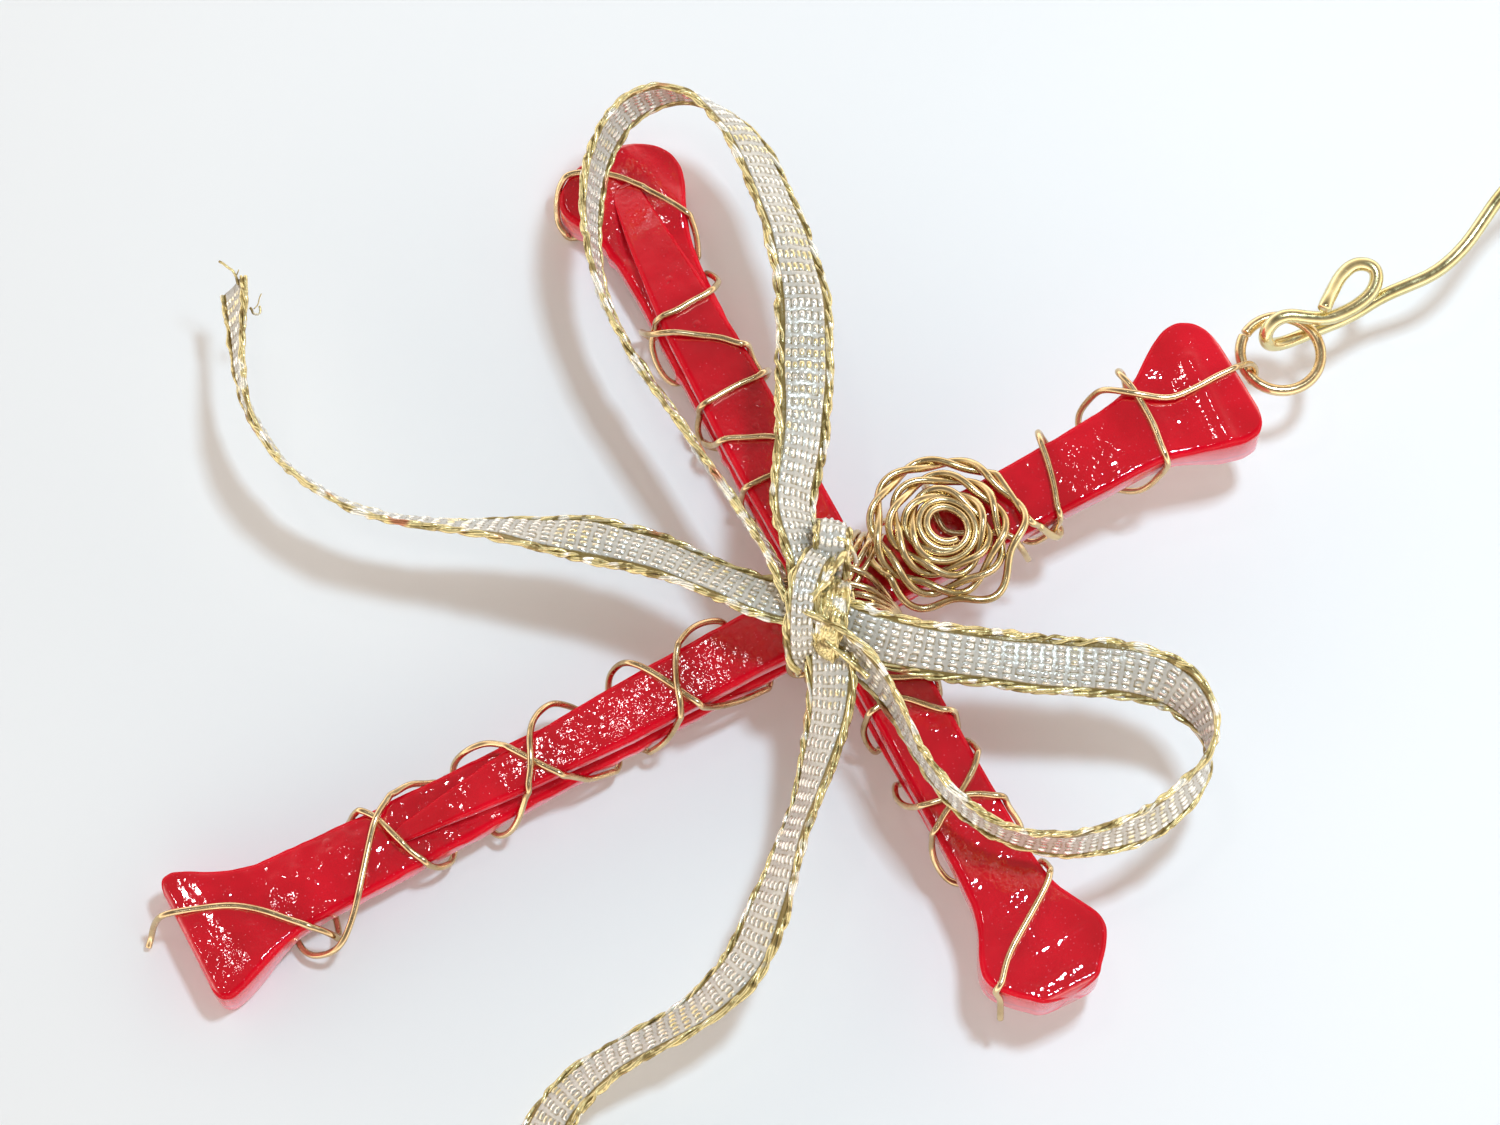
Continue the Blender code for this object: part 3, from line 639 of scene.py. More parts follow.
@dataclass
class HorseshoeNail:
    """One painted horseshoe nail of the cross.

    reach is from the crossing to the end of the head, heading the way of the head in
    degrees, offset the sideways place. left and right are the half widths of the plan
    at distances from the end of the head. level and slope give the underside, pull lifts
    it towards the point, and sink puts the skin a little lower. fade lowers the top from
    fade_start to the point. edge is the radius of the rounded edges, and tip the length
    over which the point narrows. wave is the height of the broad unevenness, and roughness
    that of the finer lumps, which are full from the end of calm on. A drip is its place,
    its side and its size.
    """

    name: str
    reach: float
    heading: float
    offset: float
    level: float
    slope: float
    pull: float
    left: Pairs
    right: Pairs
    roughness: float
    seed: int
    sink: float = 0.0
    dents: tuple[Dent, ...] = ()
    drips: Rows = ()
    fade: float = 0.0
    wave: float = 0.06
    form: NailForm = field(default_factory=NailForm)
    stations: int = 300
    edge: float = 0.42
    fade_start: float = 49.0
    tip: float = 0.8
    calm: tuple[float, float] = (3.0, 7.0)
    drip_reach: float = 0.32

    def underside(self, s: Array) -> Array:
        """Height of the underside at a distance s from the end of the head."""
        line = self.level + self.slope * (self.reach - np.maximum(s, self.form.head))
        past = np.clip((s - self.reach) / (self.form.length - self.reach), 0.0, 1.0)
        return line - self.form.drop(s) + self.pull * past ** 2

    def top(self, s: Array) -> Array:
        """Height of the top at a distance s from the end of the head."""
        crown = self.form.crown * np.clip(1.0 - s / self.form.head, 0.0, 1.0)
        end = np.clip((s - self.fade_start) / (self.form.length - self.fade_start), 0.0, 1.0)
        return self.underside(s) + self.form.drop(s) + self.form.thickness(s) + crown - self.fade * end ** 2

    def top_at(self, s: float) -> float:
        """Height of the top at one distance from the end of the head."""
        return float(self.top(np.array([s]))[0])

    def half_width(self, s: Array, side: Pairs) -> Array:
        """Half width of one side, read along the square root of s to keep the end round."""
        table = as_array(side)
        dense = np.linspace(0.0, math.sqrt(self.form.length), 1200)
        widths = blurred(np.interp(dense, np.sqrt(table[:, 0]), table[:, 1]), 14.0)
        return np.interp(np.sqrt(np.maximum(s, 0.0)), dense, widths)

    def section(self) -> tuple[Array, Array, Array, Array]:
        """Shares of the flat parts and of the edge radius that make the section's outline.

        Returns:
            Factors of the half width less the radius, of the radius across, of the half
            height less the radius and of the radius upwards, for each point of the ring.
        """
        top, bottom, side = (np.linspace(1.0, -1.0, count + 2)[1:-1] for count in (25, 11, 5))
        turn = np.linspace(0.0, 0.5 * math.pi, 7)
        rise, fall = np.sin(turn), np.cos(turn)
        one, none = np.ones, np.zeros
        wide = np.concatenate([top, -one(19), -bottom, one(19)])
        wide_edge = np.concatenate([none(25), -rise, -one(5), -fall, none(11), rise, one(5), fall])
        tall = np.concatenate([one(32), side, -one(25), -side, one(7)])
        tall_edge = np.concatenate([one(25), fall, none(5), -rise, -one(11), -fall, none(5), rise])
        return wide, wide_edge, tall, tall_edge

    def axes(self) -> tuple[Array, Array]:
        """Directions along the nail to the end of its head, and to the left of that."""
        along = pointing(self.heading, 0.0)
        return along, np.cross(UP, along)

    def skin(self, flat: Array, wide_edge: Array, tall_edge: Array) -> Array:
        """How far the paint stands out: three sizes of soft noise, and the drips.

        Args:
            flat: distance from the end of the head, place across and height of each point.
            wide_edge: share of the edge radius that each point of the ring lies across.
            tall_edge: share of the edge radius that it lies upwards.

        Returns:
            Millimetres outwards for each point.
        """
        s = flat[..., 0]
        rough = self.roughness * np.interp(s, self.calm, (0.35, 1.0))
        skin = (self.wave * soft_noise(flat, 2.6, self.seed)
                + 0.55 * rough * soft_noise(flat, 0.95, self.seed + 1)
                + 0.42 * rough * soft_noise(flat, 0.5, self.seed + 2))
        for place, hand, size in self.drips:
            bell = np.exp(-((s - place) / self.drip_reach) ** 2) * np.clip(hand * wide_edge, 0.0, 1.0)
            skin = skin + size * bell * (0.35 + 0.65 * np.clip(-tall_edge, 0.0, 1.0))
        return skin

    def grid(self) -> tuple[Array, Array, Array]:
        """Rings of the nail: rounded rectangles that follow the plan and both heights.

        A ring point is the middle of the section plus its shares of the half width, half
        height and edge radius. The end of the head is filleted, the top carries the dents,
        and then the whole surface is moved outwards by its skin.

        Returns:
            The points, how far down the side each lies, from 0 on the top to 1 at the
            underside, and how near it is to the middle of a rounded edge, from 0 to 1.
        """
        share = np.linspace(0.0, 1.0, self.stations)
        s = self.form.length * (0.35 * share + 0.65 * share ** 2.2)
        left, right = self.half_width(s, self.left), self.half_width(s, self.right)
        low, high = self.underside(s) - self.sink, self.top(s)
        fillet = np.sqrt(np.clip(1.0 - (1.0 - s / self.edge) ** 2, 0.0, 1.0))
        inset = np.where(s < self.edge, (1.0 - fillet) * self.edge, 0.0)
        tip = np.clip((self.form.length - s) / self.tip, 0.0, 1.0) ** 0.5
        half_wide = np.maximum(0.5 * (left + right) - inset, 0.05) * (0.35 + 0.65 * tip)
        half_tall = np.maximum(0.5 * (high - low) - inset, 0.05) * (0.5 + 0.5 * tip)
        middle = 0.5 * (left - right)
        radius = np.minimum(self.edge, 0.72 * np.minimum(half_wide, half_tall))
        wide, wide_edge, tall, tall_edge = self.section()
        across = middle[:, None] + wide * (half_wide - radius)[:, None] + wide_edge * radius[:, None]
        up = (0.5 * (low + high)[:, None] + tall * (half_tall - radius)[:, None]
              + tall_edge * radius[:, None])
        s_grid = np.broadcast_to(s[:, None], across.shape)
        lift = np.clip(tall_edge, 0.0, 1.0) * np.clip(tall, 0.0, 1.0)
        depth = np.clip((high[:, None] - up) / (high - low)[:, None], 0.0, 1.0)
        side = depth * np.maximum(1.0 - np.clip(tall_edge, 0.0, 1.0), 1.0 - fillet[:, None])
        for dent in self.dents:
            up = up + lift * dent.relief(s_grid, across)
        flat = np.stack([s_grid, across, up], axis=-1)
        outward = unit(np.column_stack([np.zeros_like(wide_edge), wide_edge, tall_edge]))
        flat = flat + outward * self.skin(flat, wide_edge, tall_edge)[..., None]
        along, sideways = self.axes()
        places = (along * (self.reach - flat[..., :1]) + sideways * (flat[..., 1:2] + self.offset)
                  + UP * flat[..., 2:])
        return places, side, np.broadcast_to(2.0 * np.abs(wide_edge * tall_edge), side.shape)

    def clear_of(self, route: Array, gap: float) -> Array:
        """Route with the points that lie within a gap of this nail's body moved out of it.

        Each such point goes to the nearest of the top, the underside and the two sides.

        Args:
            route: points in millimetres.
            gap: least distance from the nail's faces.

        Returns:
            The moved points.
        """
        along, sideways = self.axes()
        s = self.reach - route @ along
        across = route @ sideways - self.offset
        depths = gap + np.stack([self.top(s) - route[:, 2], route[:, 2] - self.underside(s) + self.sink,
                                 self.half_width(s, self.left) - across,
                                 self.half_width(s, self.right) + across], axis=-1)
        least = depths.min(axis=1)
        inside = (least > 0.0) & (s > 0.0) & (s < self.form.length)
        moves = np.array([UP, -UP, sideways, -sideways])
        return route + moves[depths.argmin(axis=1)] * np.where(inside, least, 0.0)[:, None]

    def build(self, paint: bpy.types.Material) -> bpy.types.Object:
        """Painted nail in its place."""
        places, side, rim = self.grid()
        piece = closed_mesh("painted_" + self.name, places, {"side": side, "rim": rim})
        return show_piece(piece, paint, "red_paint", self.name)


def resting_slope(level: float, reach: float) -> float:
    """Slope of an underside at that level over the crossing, for a head that lies on the table."""
    return (NailForm.seat - level) / (reach - NailForm.head)


def cross_nails() -> tuple[HorseshoeNail, HorseshoeNail, HorseshoeNail, HorseshoeNail]:
    """The four nails, laid on each other with a gap: left, foot, right and top."""
    left_level, gap = 1.15, 0.2
    left_reach, foot_reach, short_reach = 33.8, 43.2, 27.1
    tail = NailForm.length - short_reach
    left = HorseshoeNail(
        "nail_left", left_reach, heading=178.0, offset=-0.2, level=left_level,
        slope=resting_slope(left_level, left_reach), pull=0.8, roughness=0.045, seed=11,
        left=(
            (0.0, 0.9), (0.35, 2.2), (1.3, 3.55), (2.2, 3.95), (3.0, 3.8), (3.9, 3.3), (4.9, 2.75),
            (6.8, 2.35), (9.5, 2.2), (12.0, 2.2), *SHANK),
        right=(
            (0.0, 1.1), (0.3, 2.3), (0.9, 3.3), (1.8, 3.95), (2.9, 4.15), (4.0, 3.85), (5.3, 3.2),
            (6.6, 2.75), (7.8, 2.5), (9.8, 2.25), (12.0, 2.2), *SHANK),
        dents=(Dent((0.5, -1.2), (6.0, -2.9), 0.5, 0.25), Dent((2.6, -1.0), (6.4, 1.2), 0.7, -0.3)),
        drips=((6.4, 1.0, 0.3), (15.2, 1.0, 0.34), (21.3, 1.0, 0.28)))
    foot_level = left.top_at(left_reach) + gap
    foot = HorseshoeNail(
        "nail_foot", foot_reach, heading=-90.0, offset=-0.3, level=foot_level,
        slope=resting_slope(foot_level, foot_reach), pull=0.8, roughness=0.085, seed=23,
        left=(
            (0.0, 3.5), (0.35, 4.0), (0.9, 4.2), (1.8, 3.95), (3.0, 3.45), (4.4, 2.85), (6.0, 2.4),
            (8.0, 2.3), (12.0, 2.25), *SHANK),
        right=(
            (0.0, 3.8), (0.4, 4.3), (1.0, 4.4), (1.9, 4.0), (3.0, 3.35), (4.2, 2.8), (5.2, 2.55),
            (8.0, 2.35), (12.0, 2.25), *SHANK),
        dents=(Dent((2.4, -3.2), (3.0, 3.2), 0.9, 0.12), Dent((7.2, -0.6), (11.5, -0.4), 0.9, 0.18)))
    right_level = foot.top_at(foot_reach) + gap
    right_tip = left.top_at(left_reach - tail) + gap
    right = HorseshoeNail(
        "nail_right", short_reach, heading=-2.0, offset=0.6, level=right_level,
        slope=(right_level - right_tip) / tail, pull=0.0, roughness=0.03, seed=37,
        left=(
            (0.0, 1.9), (0.7, 2.7), (1.6, 3.5), (2.6, 4.1), (3.5, 4.1), (4.6, 3.5), (6.3, 2.6),
            (8.5, 2.3), (14.0, 2.1), (43.0, 1.75), (50.0, 1.35), (56.0, 0.8), (58.4, 0.6)),
        right=(
            (0.0, 1.0), (0.6, 1.9), (1.5, 2.9), (2.3, 3.6), (3.2, 3.75), (4.3, 3.4), (5.6, 2.7),
            (7.0, 2.3), (9.2, 2.2), (12.0, 2.2), (30.0, 2.25), (40.0, 2.5), (48.0, 2.35), (52.0, 2.0),
            (56.0, 1.5), (58.4, 0.9)),
        sink=0.22, fade=0.75, wave=0.02, form=NailForm(length=58.4, crown=0.5),
        dents=(Dent((2.9, -1.4), (3.2, 2.9), 0.12, 0.018), Dent((1.0, -1.8), (1.2, 1.6), 0.14, 0.02)))
    top_level = right.top_at(short_reach) + gap
    top_tip = foot.top_at(foot_reach - tail) + gap
    top = HorseshoeNail(
        "nail_top", short_reach, heading=90.0, offset=0.2, level=top_level,
        slope=(top_level - top_tip) / tail, pull=0.0, roughness=0.035, seed=51,
        left=(
            (0.0, 2.4), (0.25, 3.7), (0.7, 4.5), (1.6, 5.1), (2.5, 5.1), (3.7, 4.5), (4.8, 3.7),
            (5.8, 2.95), (7.5, 2.5), (12.0, 2.2), *SHANK),
        right=(
            (0.0, 2.0), (0.25, 2.9), (0.8, 3.5), (1.8, 3.6), (3.0, 3.3), (4.6, 2.75), (6.2, 2.3),
            (8.0, 2.2), (12.0, 2.15), *SHANK),
        sink=0.22, fade=0.45,
        dents=(Dent((2.1, 2.6), (2.6, -3.2), 0.35, 0.14), Dent((4.4, 1.8), (4.7, -1.8), 0.8, -0.14)))
    return left, foot, right, top


@dataclass
class RoundWire:
    """Round wire along given points, slightly uneven as wire bent by hand is.

    Each time that the wire is moved clear of the nails, it is softened over the next of
    the softenings, in steps.
    """

    name: str
    controls: Array
    diameter: float
    sides: int = 14
    step: float = 0.12
    soften: float = 0.22
    seed: int = 3
    softenings: tuple[float, ...] = (2.4, 1.6, 0.9)
    nail_gap: float = 0.03
    table_gap: float = 0.02

    def route(self, nails: tuple[HorseshoeNail, ...]) -> Array:
        """Even route of the wire's middle, moved clear of the nails and softened again.

        Args:
            nails: nails that the wire lies on, and mustn't cut into.

        Returns:
            Points in millimetres.
        """
        route = smooth_route(self.controls, self.step, self.soften)
        radius = 0.5 * self.diameter
        for width in self.softenings:
            for nail in nails:
                route = nail.clear_of(route, radius + self.nail_gap)
            route = np.vstack([route[:1], blurred(route, width)[1:-1], route[-1:]])
            route[:, 2] = np.maximum(route[:, 2], radius + self.table_gap)
        return evenly(route, self.step)

    def build(self, metal: bpy.types.Material, slot: str, nails: tuple[HorseshoeNail, ...],
              *nodes: str) -> bpy.types.Object:
        """Wire in its place, standing for the named solids."""
        route = self.route(nails)
        swell = 0.03 * soft_noise(route, 0.8, self.seed)
        piece = closed_mesh(self.name, tube_grid(route, 0.5 * self.diameter, self.sides, swell))
        return show_piece(piece, metal, slot, *nodes)


@dataclass(frozen=True)
class BindingWires:
    """Thin wires wound round the four arms, each as points from one end to the other."""

    diameter: float = 0.4
    foot_one: Rows = (
        (-1.6, -36.3, 0.85), (0.6, -37.3, 0.8), (2.68, -37.46, 0.85), (3.49, -36.85, 1.2),
        (3.91, -35.55, 2.3), (2.97, -34.2, 2.95), (1.87, -33.2, 3.3), (0.43, -32.06, 3.35),
        (-0.69, -31.17, 3.4), (-1.71, -30.26, 3.6), (-2.49, -29.15, 3.2), (-2.92, -27.63, 2.7),
        (-2.77, -26.77, 2.0), (-2.3, -25.6, 1.2), (-0.3, -24.6, 1.0), (1.72, -24.43, 1.3),
        (2.29, -23.9, 1.7), (2.22, -23.04, 2.7), (1.43, -21.99, 4.12), (0.61, -21.22, 4.87),
        (-0.18, -20.74, 5.23), (-1.65, -20.05, 5.08), (-2.66, -19.17, 4.3), (-3.19, -17.95, 3.4),
        (-2.97, -17.24, 2.7), (-2.4, -16.4, 1.6), (0.0, -15.6, 1.3), (1.2, -14.3, 1.4), (1.9, -13.89, 2.2),
        (2.02, -12.77, 3.6), (1.62, -11.73, 5.74), (0.29, -11.27, 6.1), (-1.12, -10.64, 5.83),
        (-2.24, -9.83, 5.7), (-2.97, -8.45, 4.9), (-2.98, -7.16, 4.2), (-2.74, -6.57, 3.7),
        (-2.3, -6.4, 2.2), (-0.4, -6.5, 1.6))
    foot_two: Rows = (
        (-1.94, -45.34, 0.35), (-2.3, -44.96, 0.6), (-2.58, -44.52, 1.6), (-2.44, -43.93, 3.2),
        (-2.32, -43.45, 3.34), (-1.77, -41.8, 3.28), (-1.02, -39.96, 3.2), (0.05, -38.55, 3.14),
        (1.41, -37.28, 3.09), (2.6, -36.09, 2.9), (3.19, -35.47, 2.3), (3.3, -35.3, 1.4),
        (2.3, -35.0, 0.85), (0.0, -34.3, 0.8), (-2.3, -32.2, 1.0), (-2.69, -31.62, 1.6),
        (-2.81, -31.29, 2.6), (-2.67, -30.8, 3.19), (-1.88, -30.21, 3.2), (-0.46, -29.81, 3.6),
        (1.09, -29.32, 3.4), (1.89, -28.8, 2.9), (2.32, -28.39, 2.2), (2.25, -27.56, 1.6),
        (1.84, -27.13, 1.1), (-0.3, -25.6, 1.0), (-2.3, -25.0, 1.2), (-2.77, -24.8, 1.8),
        (-2.96, -24.36, 2.7), (-2.86, -23.49, 3.7), (-2.62, -22.48, 4.0), (-1.63, -21.6, 4.73),
        (-0.26, -20.72, 4.81), (1.25, -19.69, 4.91), (1.75, -18.73, 3.9), (1.93, -17.87, 2.8),
        (1.93, -16.81, 2.3), (1.69, -15.99, 1.5), (-0.2, -15.2, 1.2), (-2.3, -14.6, 1.8),
        (-2.86, -14.29, 2.9), (-3.07, -14.01, 3.7), (-3.05, -13.42, 4.6), (-2.52, -12.89, 5.63),
        (-1.66, -12.21, 5.59), (0.21, -11.24, 5.68), (1.39, -10.7, 5.73), (1.8, -9.9, 4.6),
        (1.9, -8.7, 3.6), (1.9, -7.49, 3.0), (1.75, -6.16, 2.4), (1.4, -5.63, 1.9), (-0.8, -4.6, 1.6))
    left_one: Rows = (
        (-29.5, -1.0, 0.6), (-31.4, -2.1, 0.8), (-32.09, -2.27, 1.2), (-32.58, -2.4, 2.2),
        (-33.17, -1.81, 3.0), (-33.36, -1.14, 3.37), (-33.17, -0.6, 3.35), (-32.77, 0.24, 3.3),
        (-32.17, 1.05, 3.27), (-31.46, 1.8, 3.24), (-30.39, 2.52, 3.2), (-29.32, 3.24, 3.15),
        (-28.31, 3.83, 3.11), (-27.57, 4.16, 3.0), (-26.88, 4.22, 2.4), (-26.07, 4.01, 1.8),
        (-25.47, 3.6, 1.1), (-25.3, 2.0, 0.7), (-25.6, 0.3, 0.7))
    left_two: Rows = (
        (-23.8, -0.6, 0.7), (-24.1, 2.0, 0.75), (-24.2, 3.2, 1.3), (-23.99, 3.42, 1.9), (-23.4, 3.63, 2.6),
        (-22.57, 3.7, 3.2), (-22.3, 3.39, 3.7), (-21.79, 2.63, 4.28), (-21.78, 1.35, 4.28),
        (-21.64, 0.16, 4.29), (-21.8, -0.73, 3.6), (-21.6, -1.42, 3.0), (-21.28, -1.73, 2.5),
        (-20.65, -1.93, 2.1), (-19.84, -2.0, 1.6), (-19.15, -1.8, 1.0), (-18.62, -1.2, 0.7),
        (-19.4, 0.9, 0.7))
    left_three: Rows = (
        (-20.0, 1.5, 0.7), (-21.6, -0.2, 0.7), (-22.21, -1.66, 1.5), (-22.36, -1.92, 2.2),
        (-22.01, -1.96, 2.6), (-21.23, -1.86, 3.9), (-20.73, -1.32, 4.5), (-20.39, -0.58, 4.6),
        (-19.51, 0.7, 4.45), (-18.69, 1.86, 4.42), (-17.91, 2.47, 4.45), (-17.42, 2.92, 3.6),
        (-16.84, 3.16, 2.8), (-16.33, 3.29, 2.0), (-15.92, 3.0, 1.2), (-16.6, 0.6, 0.7))
    left_four: Rows = (
        (-17.0, 0.8, 0.7), (-16.4, 2.8, 0.9), (-16.0, 3.39, 2.3), (-15.92, 3.6, 3.3), (-15.81, 3.38, 3.8),
        (-15.36, 2.59, 4.66), (-15.47, 1.73, 4.56), (-15.47, 0.59, 4.56), (-15.37, -0.48, 4.56),
        (-15.36, -1.08, 4.1), (-15.16, -1.65, 3.2), (-14.86, -1.95, 2.6), (-14.55, -2.0, 2.0),
        (-14.2, -1.8, 1.1), (-13.82, -1.2, 0.7), (-12.8, 0.6, 0.7))
    left_five: Rows = (
        (-12.8, 1.6, 0.7), (-13.7, -0.6, 0.75), (-13.99, -1.7, 1.5), (-14.02, -1.95, 2.4),
        (-13.63, -2.08, 2.9), (-12.95, -1.77, 3.8), (-12.65, -0.92, 4.5), (-12.17, -0.04, 4.69),
        (-11.78, 0.89, 4.7), (-11.35, 1.62, 4.72), (-10.78, 2.05, 4.79), (-10.38, 2.6, 3.5),
        (-10.06, 2.7, 2.4), (-9.6, 2.3, 1.0), (-8.6, 0.6, 0.7))
    left_six: Rows = (
        (-8.6, 1.0, 0.7), (-9.0, 2.3, 1.2), (-9.14, 2.55, 3.6), (-8.81, 1.76, 4.92), (-9.13, 0.93, 4.8),
        (-9.28, 0.28, 4.8), (-9.32, -0.21, 4.8), (-9.31, -0.98, 4.8), (-9.34, -1.6, 4.1),
        (-9.33, -1.9, 3.2), (-9.15, -1.95, 2.2), (-8.6, -1.6, 1.0), (-6.0, 0.3, 0.7))
    right_one: Rows = (
        (3.4, -1.2, 2.0), (3.9, -1.6, 3.0), (4.2, -1.5, 4.4), (4.95, -0.58, 5.45), (5.71, 0.58, 5.38),
        (6.24, 1.86, 5.4), (6.79, 2.33, 5.0), (7.16, 2.5, 4.0), (7.3, 2.3, 2.6), (7.1, 1.4, 0.9),
        (7.2, -0.4, 0.7), (7.9, -1.8, 0.9), (8.04, -2.19, 1.5), (7.83, -2.39, 2.1), (7.47, -2.55, 2.9),
        (7.08, -2.5, 3.8), (6.88, -2.1, 4.9), (6.68, -1.14, 5.45), (6.74, 0.01, 5.42), (8.04, 1.25, 5.47),
        (9.0, 2.1, 4.9), (9.5, 2.4, 3.6), (9.96, 2.3, 2.2), (10.2, 1.6, 0.9), (10.4, 0.0, 0.8),
        (10.38, -1.9, 1.5), (10.78, -2.35, 2.4), (11.42, -2.69, 3.2), (12.23, -2.82, 4.2),
        (12.85, -2.6, 4.9), (13.35, -1.9, 5.68), (13.49, -1.0, 5.68), (13.76, 0.02, 5.69), (14.1, 1.0, 5.7),
        (14.69, 1.85, 5.6), (15.26, 2.34, 5.2), (16.1, 2.65, 4.4), (16.9, 2.74, 3.6), (17.3, 2.0, 2.6),
        (17.0, 0.3, 1.3))
    right_two: Rows = (
        (10.0, 0.8, 0.8), (10.1, 2.1, 1.6), (10.3, 2.35, 2.8), (10.54, 2.4, 3.9), (11.15, 2.5, 4.9),
        (11.96, 2.37, 5.6), (12.56, 1.91, 5.75), (13.25, 0.94, 5.8), (13.9, -0.08, 6.15),
        (14.43, -1.33, 5.85), (15.05, -2.14, 5.6), (15.27, -2.48, 4.4), (16.07, -2.69, 3.6),
        (16.88, -2.52, 2.9), (17.56, -2.08, 2.4), (18.6, 0.0, 2.4), (19.4, 1.6, 3.3), (19.19, 2.5, 4.8),
        (19.77, 2.65, 5.5), (20.19, 2.56, 5.9), (20.55, 2.35, 6.0), (21.13, 1.61, 5.97),
        (22.23, -0.08, 6.02), (23.2, -1.6, 6.06), (23.92, -2.48, 6.1), (24.74, -3.18, 6.18),
        (25.23, -3.5, 5.4), (25.62, -3.69, 4.4), (26.06, -3.88, 3.4))
    top_one: Rows = (
        (-0.56, 28.14, 5.9), (-0.67, 28.61, 6.1), (-0.86, 28.71, 6.7), (-1.08, 28.47, 7.4),
        (-1.12, 28.01, 7.9), (-0.98, 27.44, 8.5), (-0.88, 26.61, 8.9), (-0.98, 26.12, 8.8),
        (-0.94, 24.84, 8.75), (-0.97, 23.6, 8.7), (-1.04, 22.8, 8.67), (-1.39, 22.17, 8.65),
        (-1.95, 21.35, 8.85), (-2.57, 20.58, 8.84), (-3.23, 19.87, 8.57), (-3.67, 19.45, 8.2),
        (-3.77, 19.0, 7.6), (-3.71, 18.47, 6.9), (-3.54, 17.97, 6.1), (-2.6, 17.6, 5.5), (1.0, 17.2, 5.3))
    top_two: Rows = (
        (1.0, 19.6, 5.6), (-2.6, 21.0, 5.8), (-4.1, 21.45, 6.5), (-4.4, 21.3, 7.3), (-4.25, 20.84, 8.2),
        (-3.67, 20.82, 8.61), (-3.2, 21.01, 8.55), (-2.47, 21.05, 8.55), (-1.73, 21.04, 8.55),
        (-0.85, 21.02, 8.55), (0.0, 20.95, 8.55), (0.93, 20.76, 8.5), (1.61, 20.63, 8.1), (2.0, 20.52, 7.3),
        (2.3, 20.14, 6.8), (2.38, 19.52, 6.1), (2.27, 18.86, 5.6), (1.78, 18.2, 5.4), (0.5, 17.0, 5.3),
        (-2.5, 15.6, 5.6), (-3.19, 15.25, 6.4), (-3.47, 15.05, 7.2), (-3.05, 14.81, 7.8),
        (-2.49, 14.63, 8.06), (-1.91, 14.56, 8.0), (-0.87, 14.32, 7.97), (0.45, 13.93, 7.95),
        (1.43, 13.53, 7.9), (1.85, 13.35, 7.1), (2.1, 13.01, 6.0), (2.1, 12.36, 5.5), (1.9, 11.62, 5.0),
        (0.2, 10.9, 4.9))
    under_rose: Rows = (
        (2.9, 10.9, 5.6), (2.5, 10.6, 6.9), (1.6, 10.2, 7.6), (0.63, 8.81, 7.55), (-0.26, 7.09, 7.4),
        (-1.29, 7.04, 7.4), (-1.89, 7.14, 7.42), (-2.99, 7.42, 7.33), (-4.0, 7.7, 6.3), (-4.0, 7.8, 5.0),
        (-2.0, 8.0, 4.7))

    def build(self, metal: bpy.types.Material, nails: tuple[HorseshoeNail, ...]) -> None:
        """Every wire, each standing for the solid of its arm."""
        for order, part in enumerate(fields(self)[1:]):
            rows = as_array(getattr(self, part.name))
            arm = part.name.split("_")[0].replace("under", "top")
            wire = RoundWire("binding_" + part.name, rows, self.diameter, seed=30 + order)
            wire.build(metal, "binding_wire", nails, f"wire_{arm}_arm")


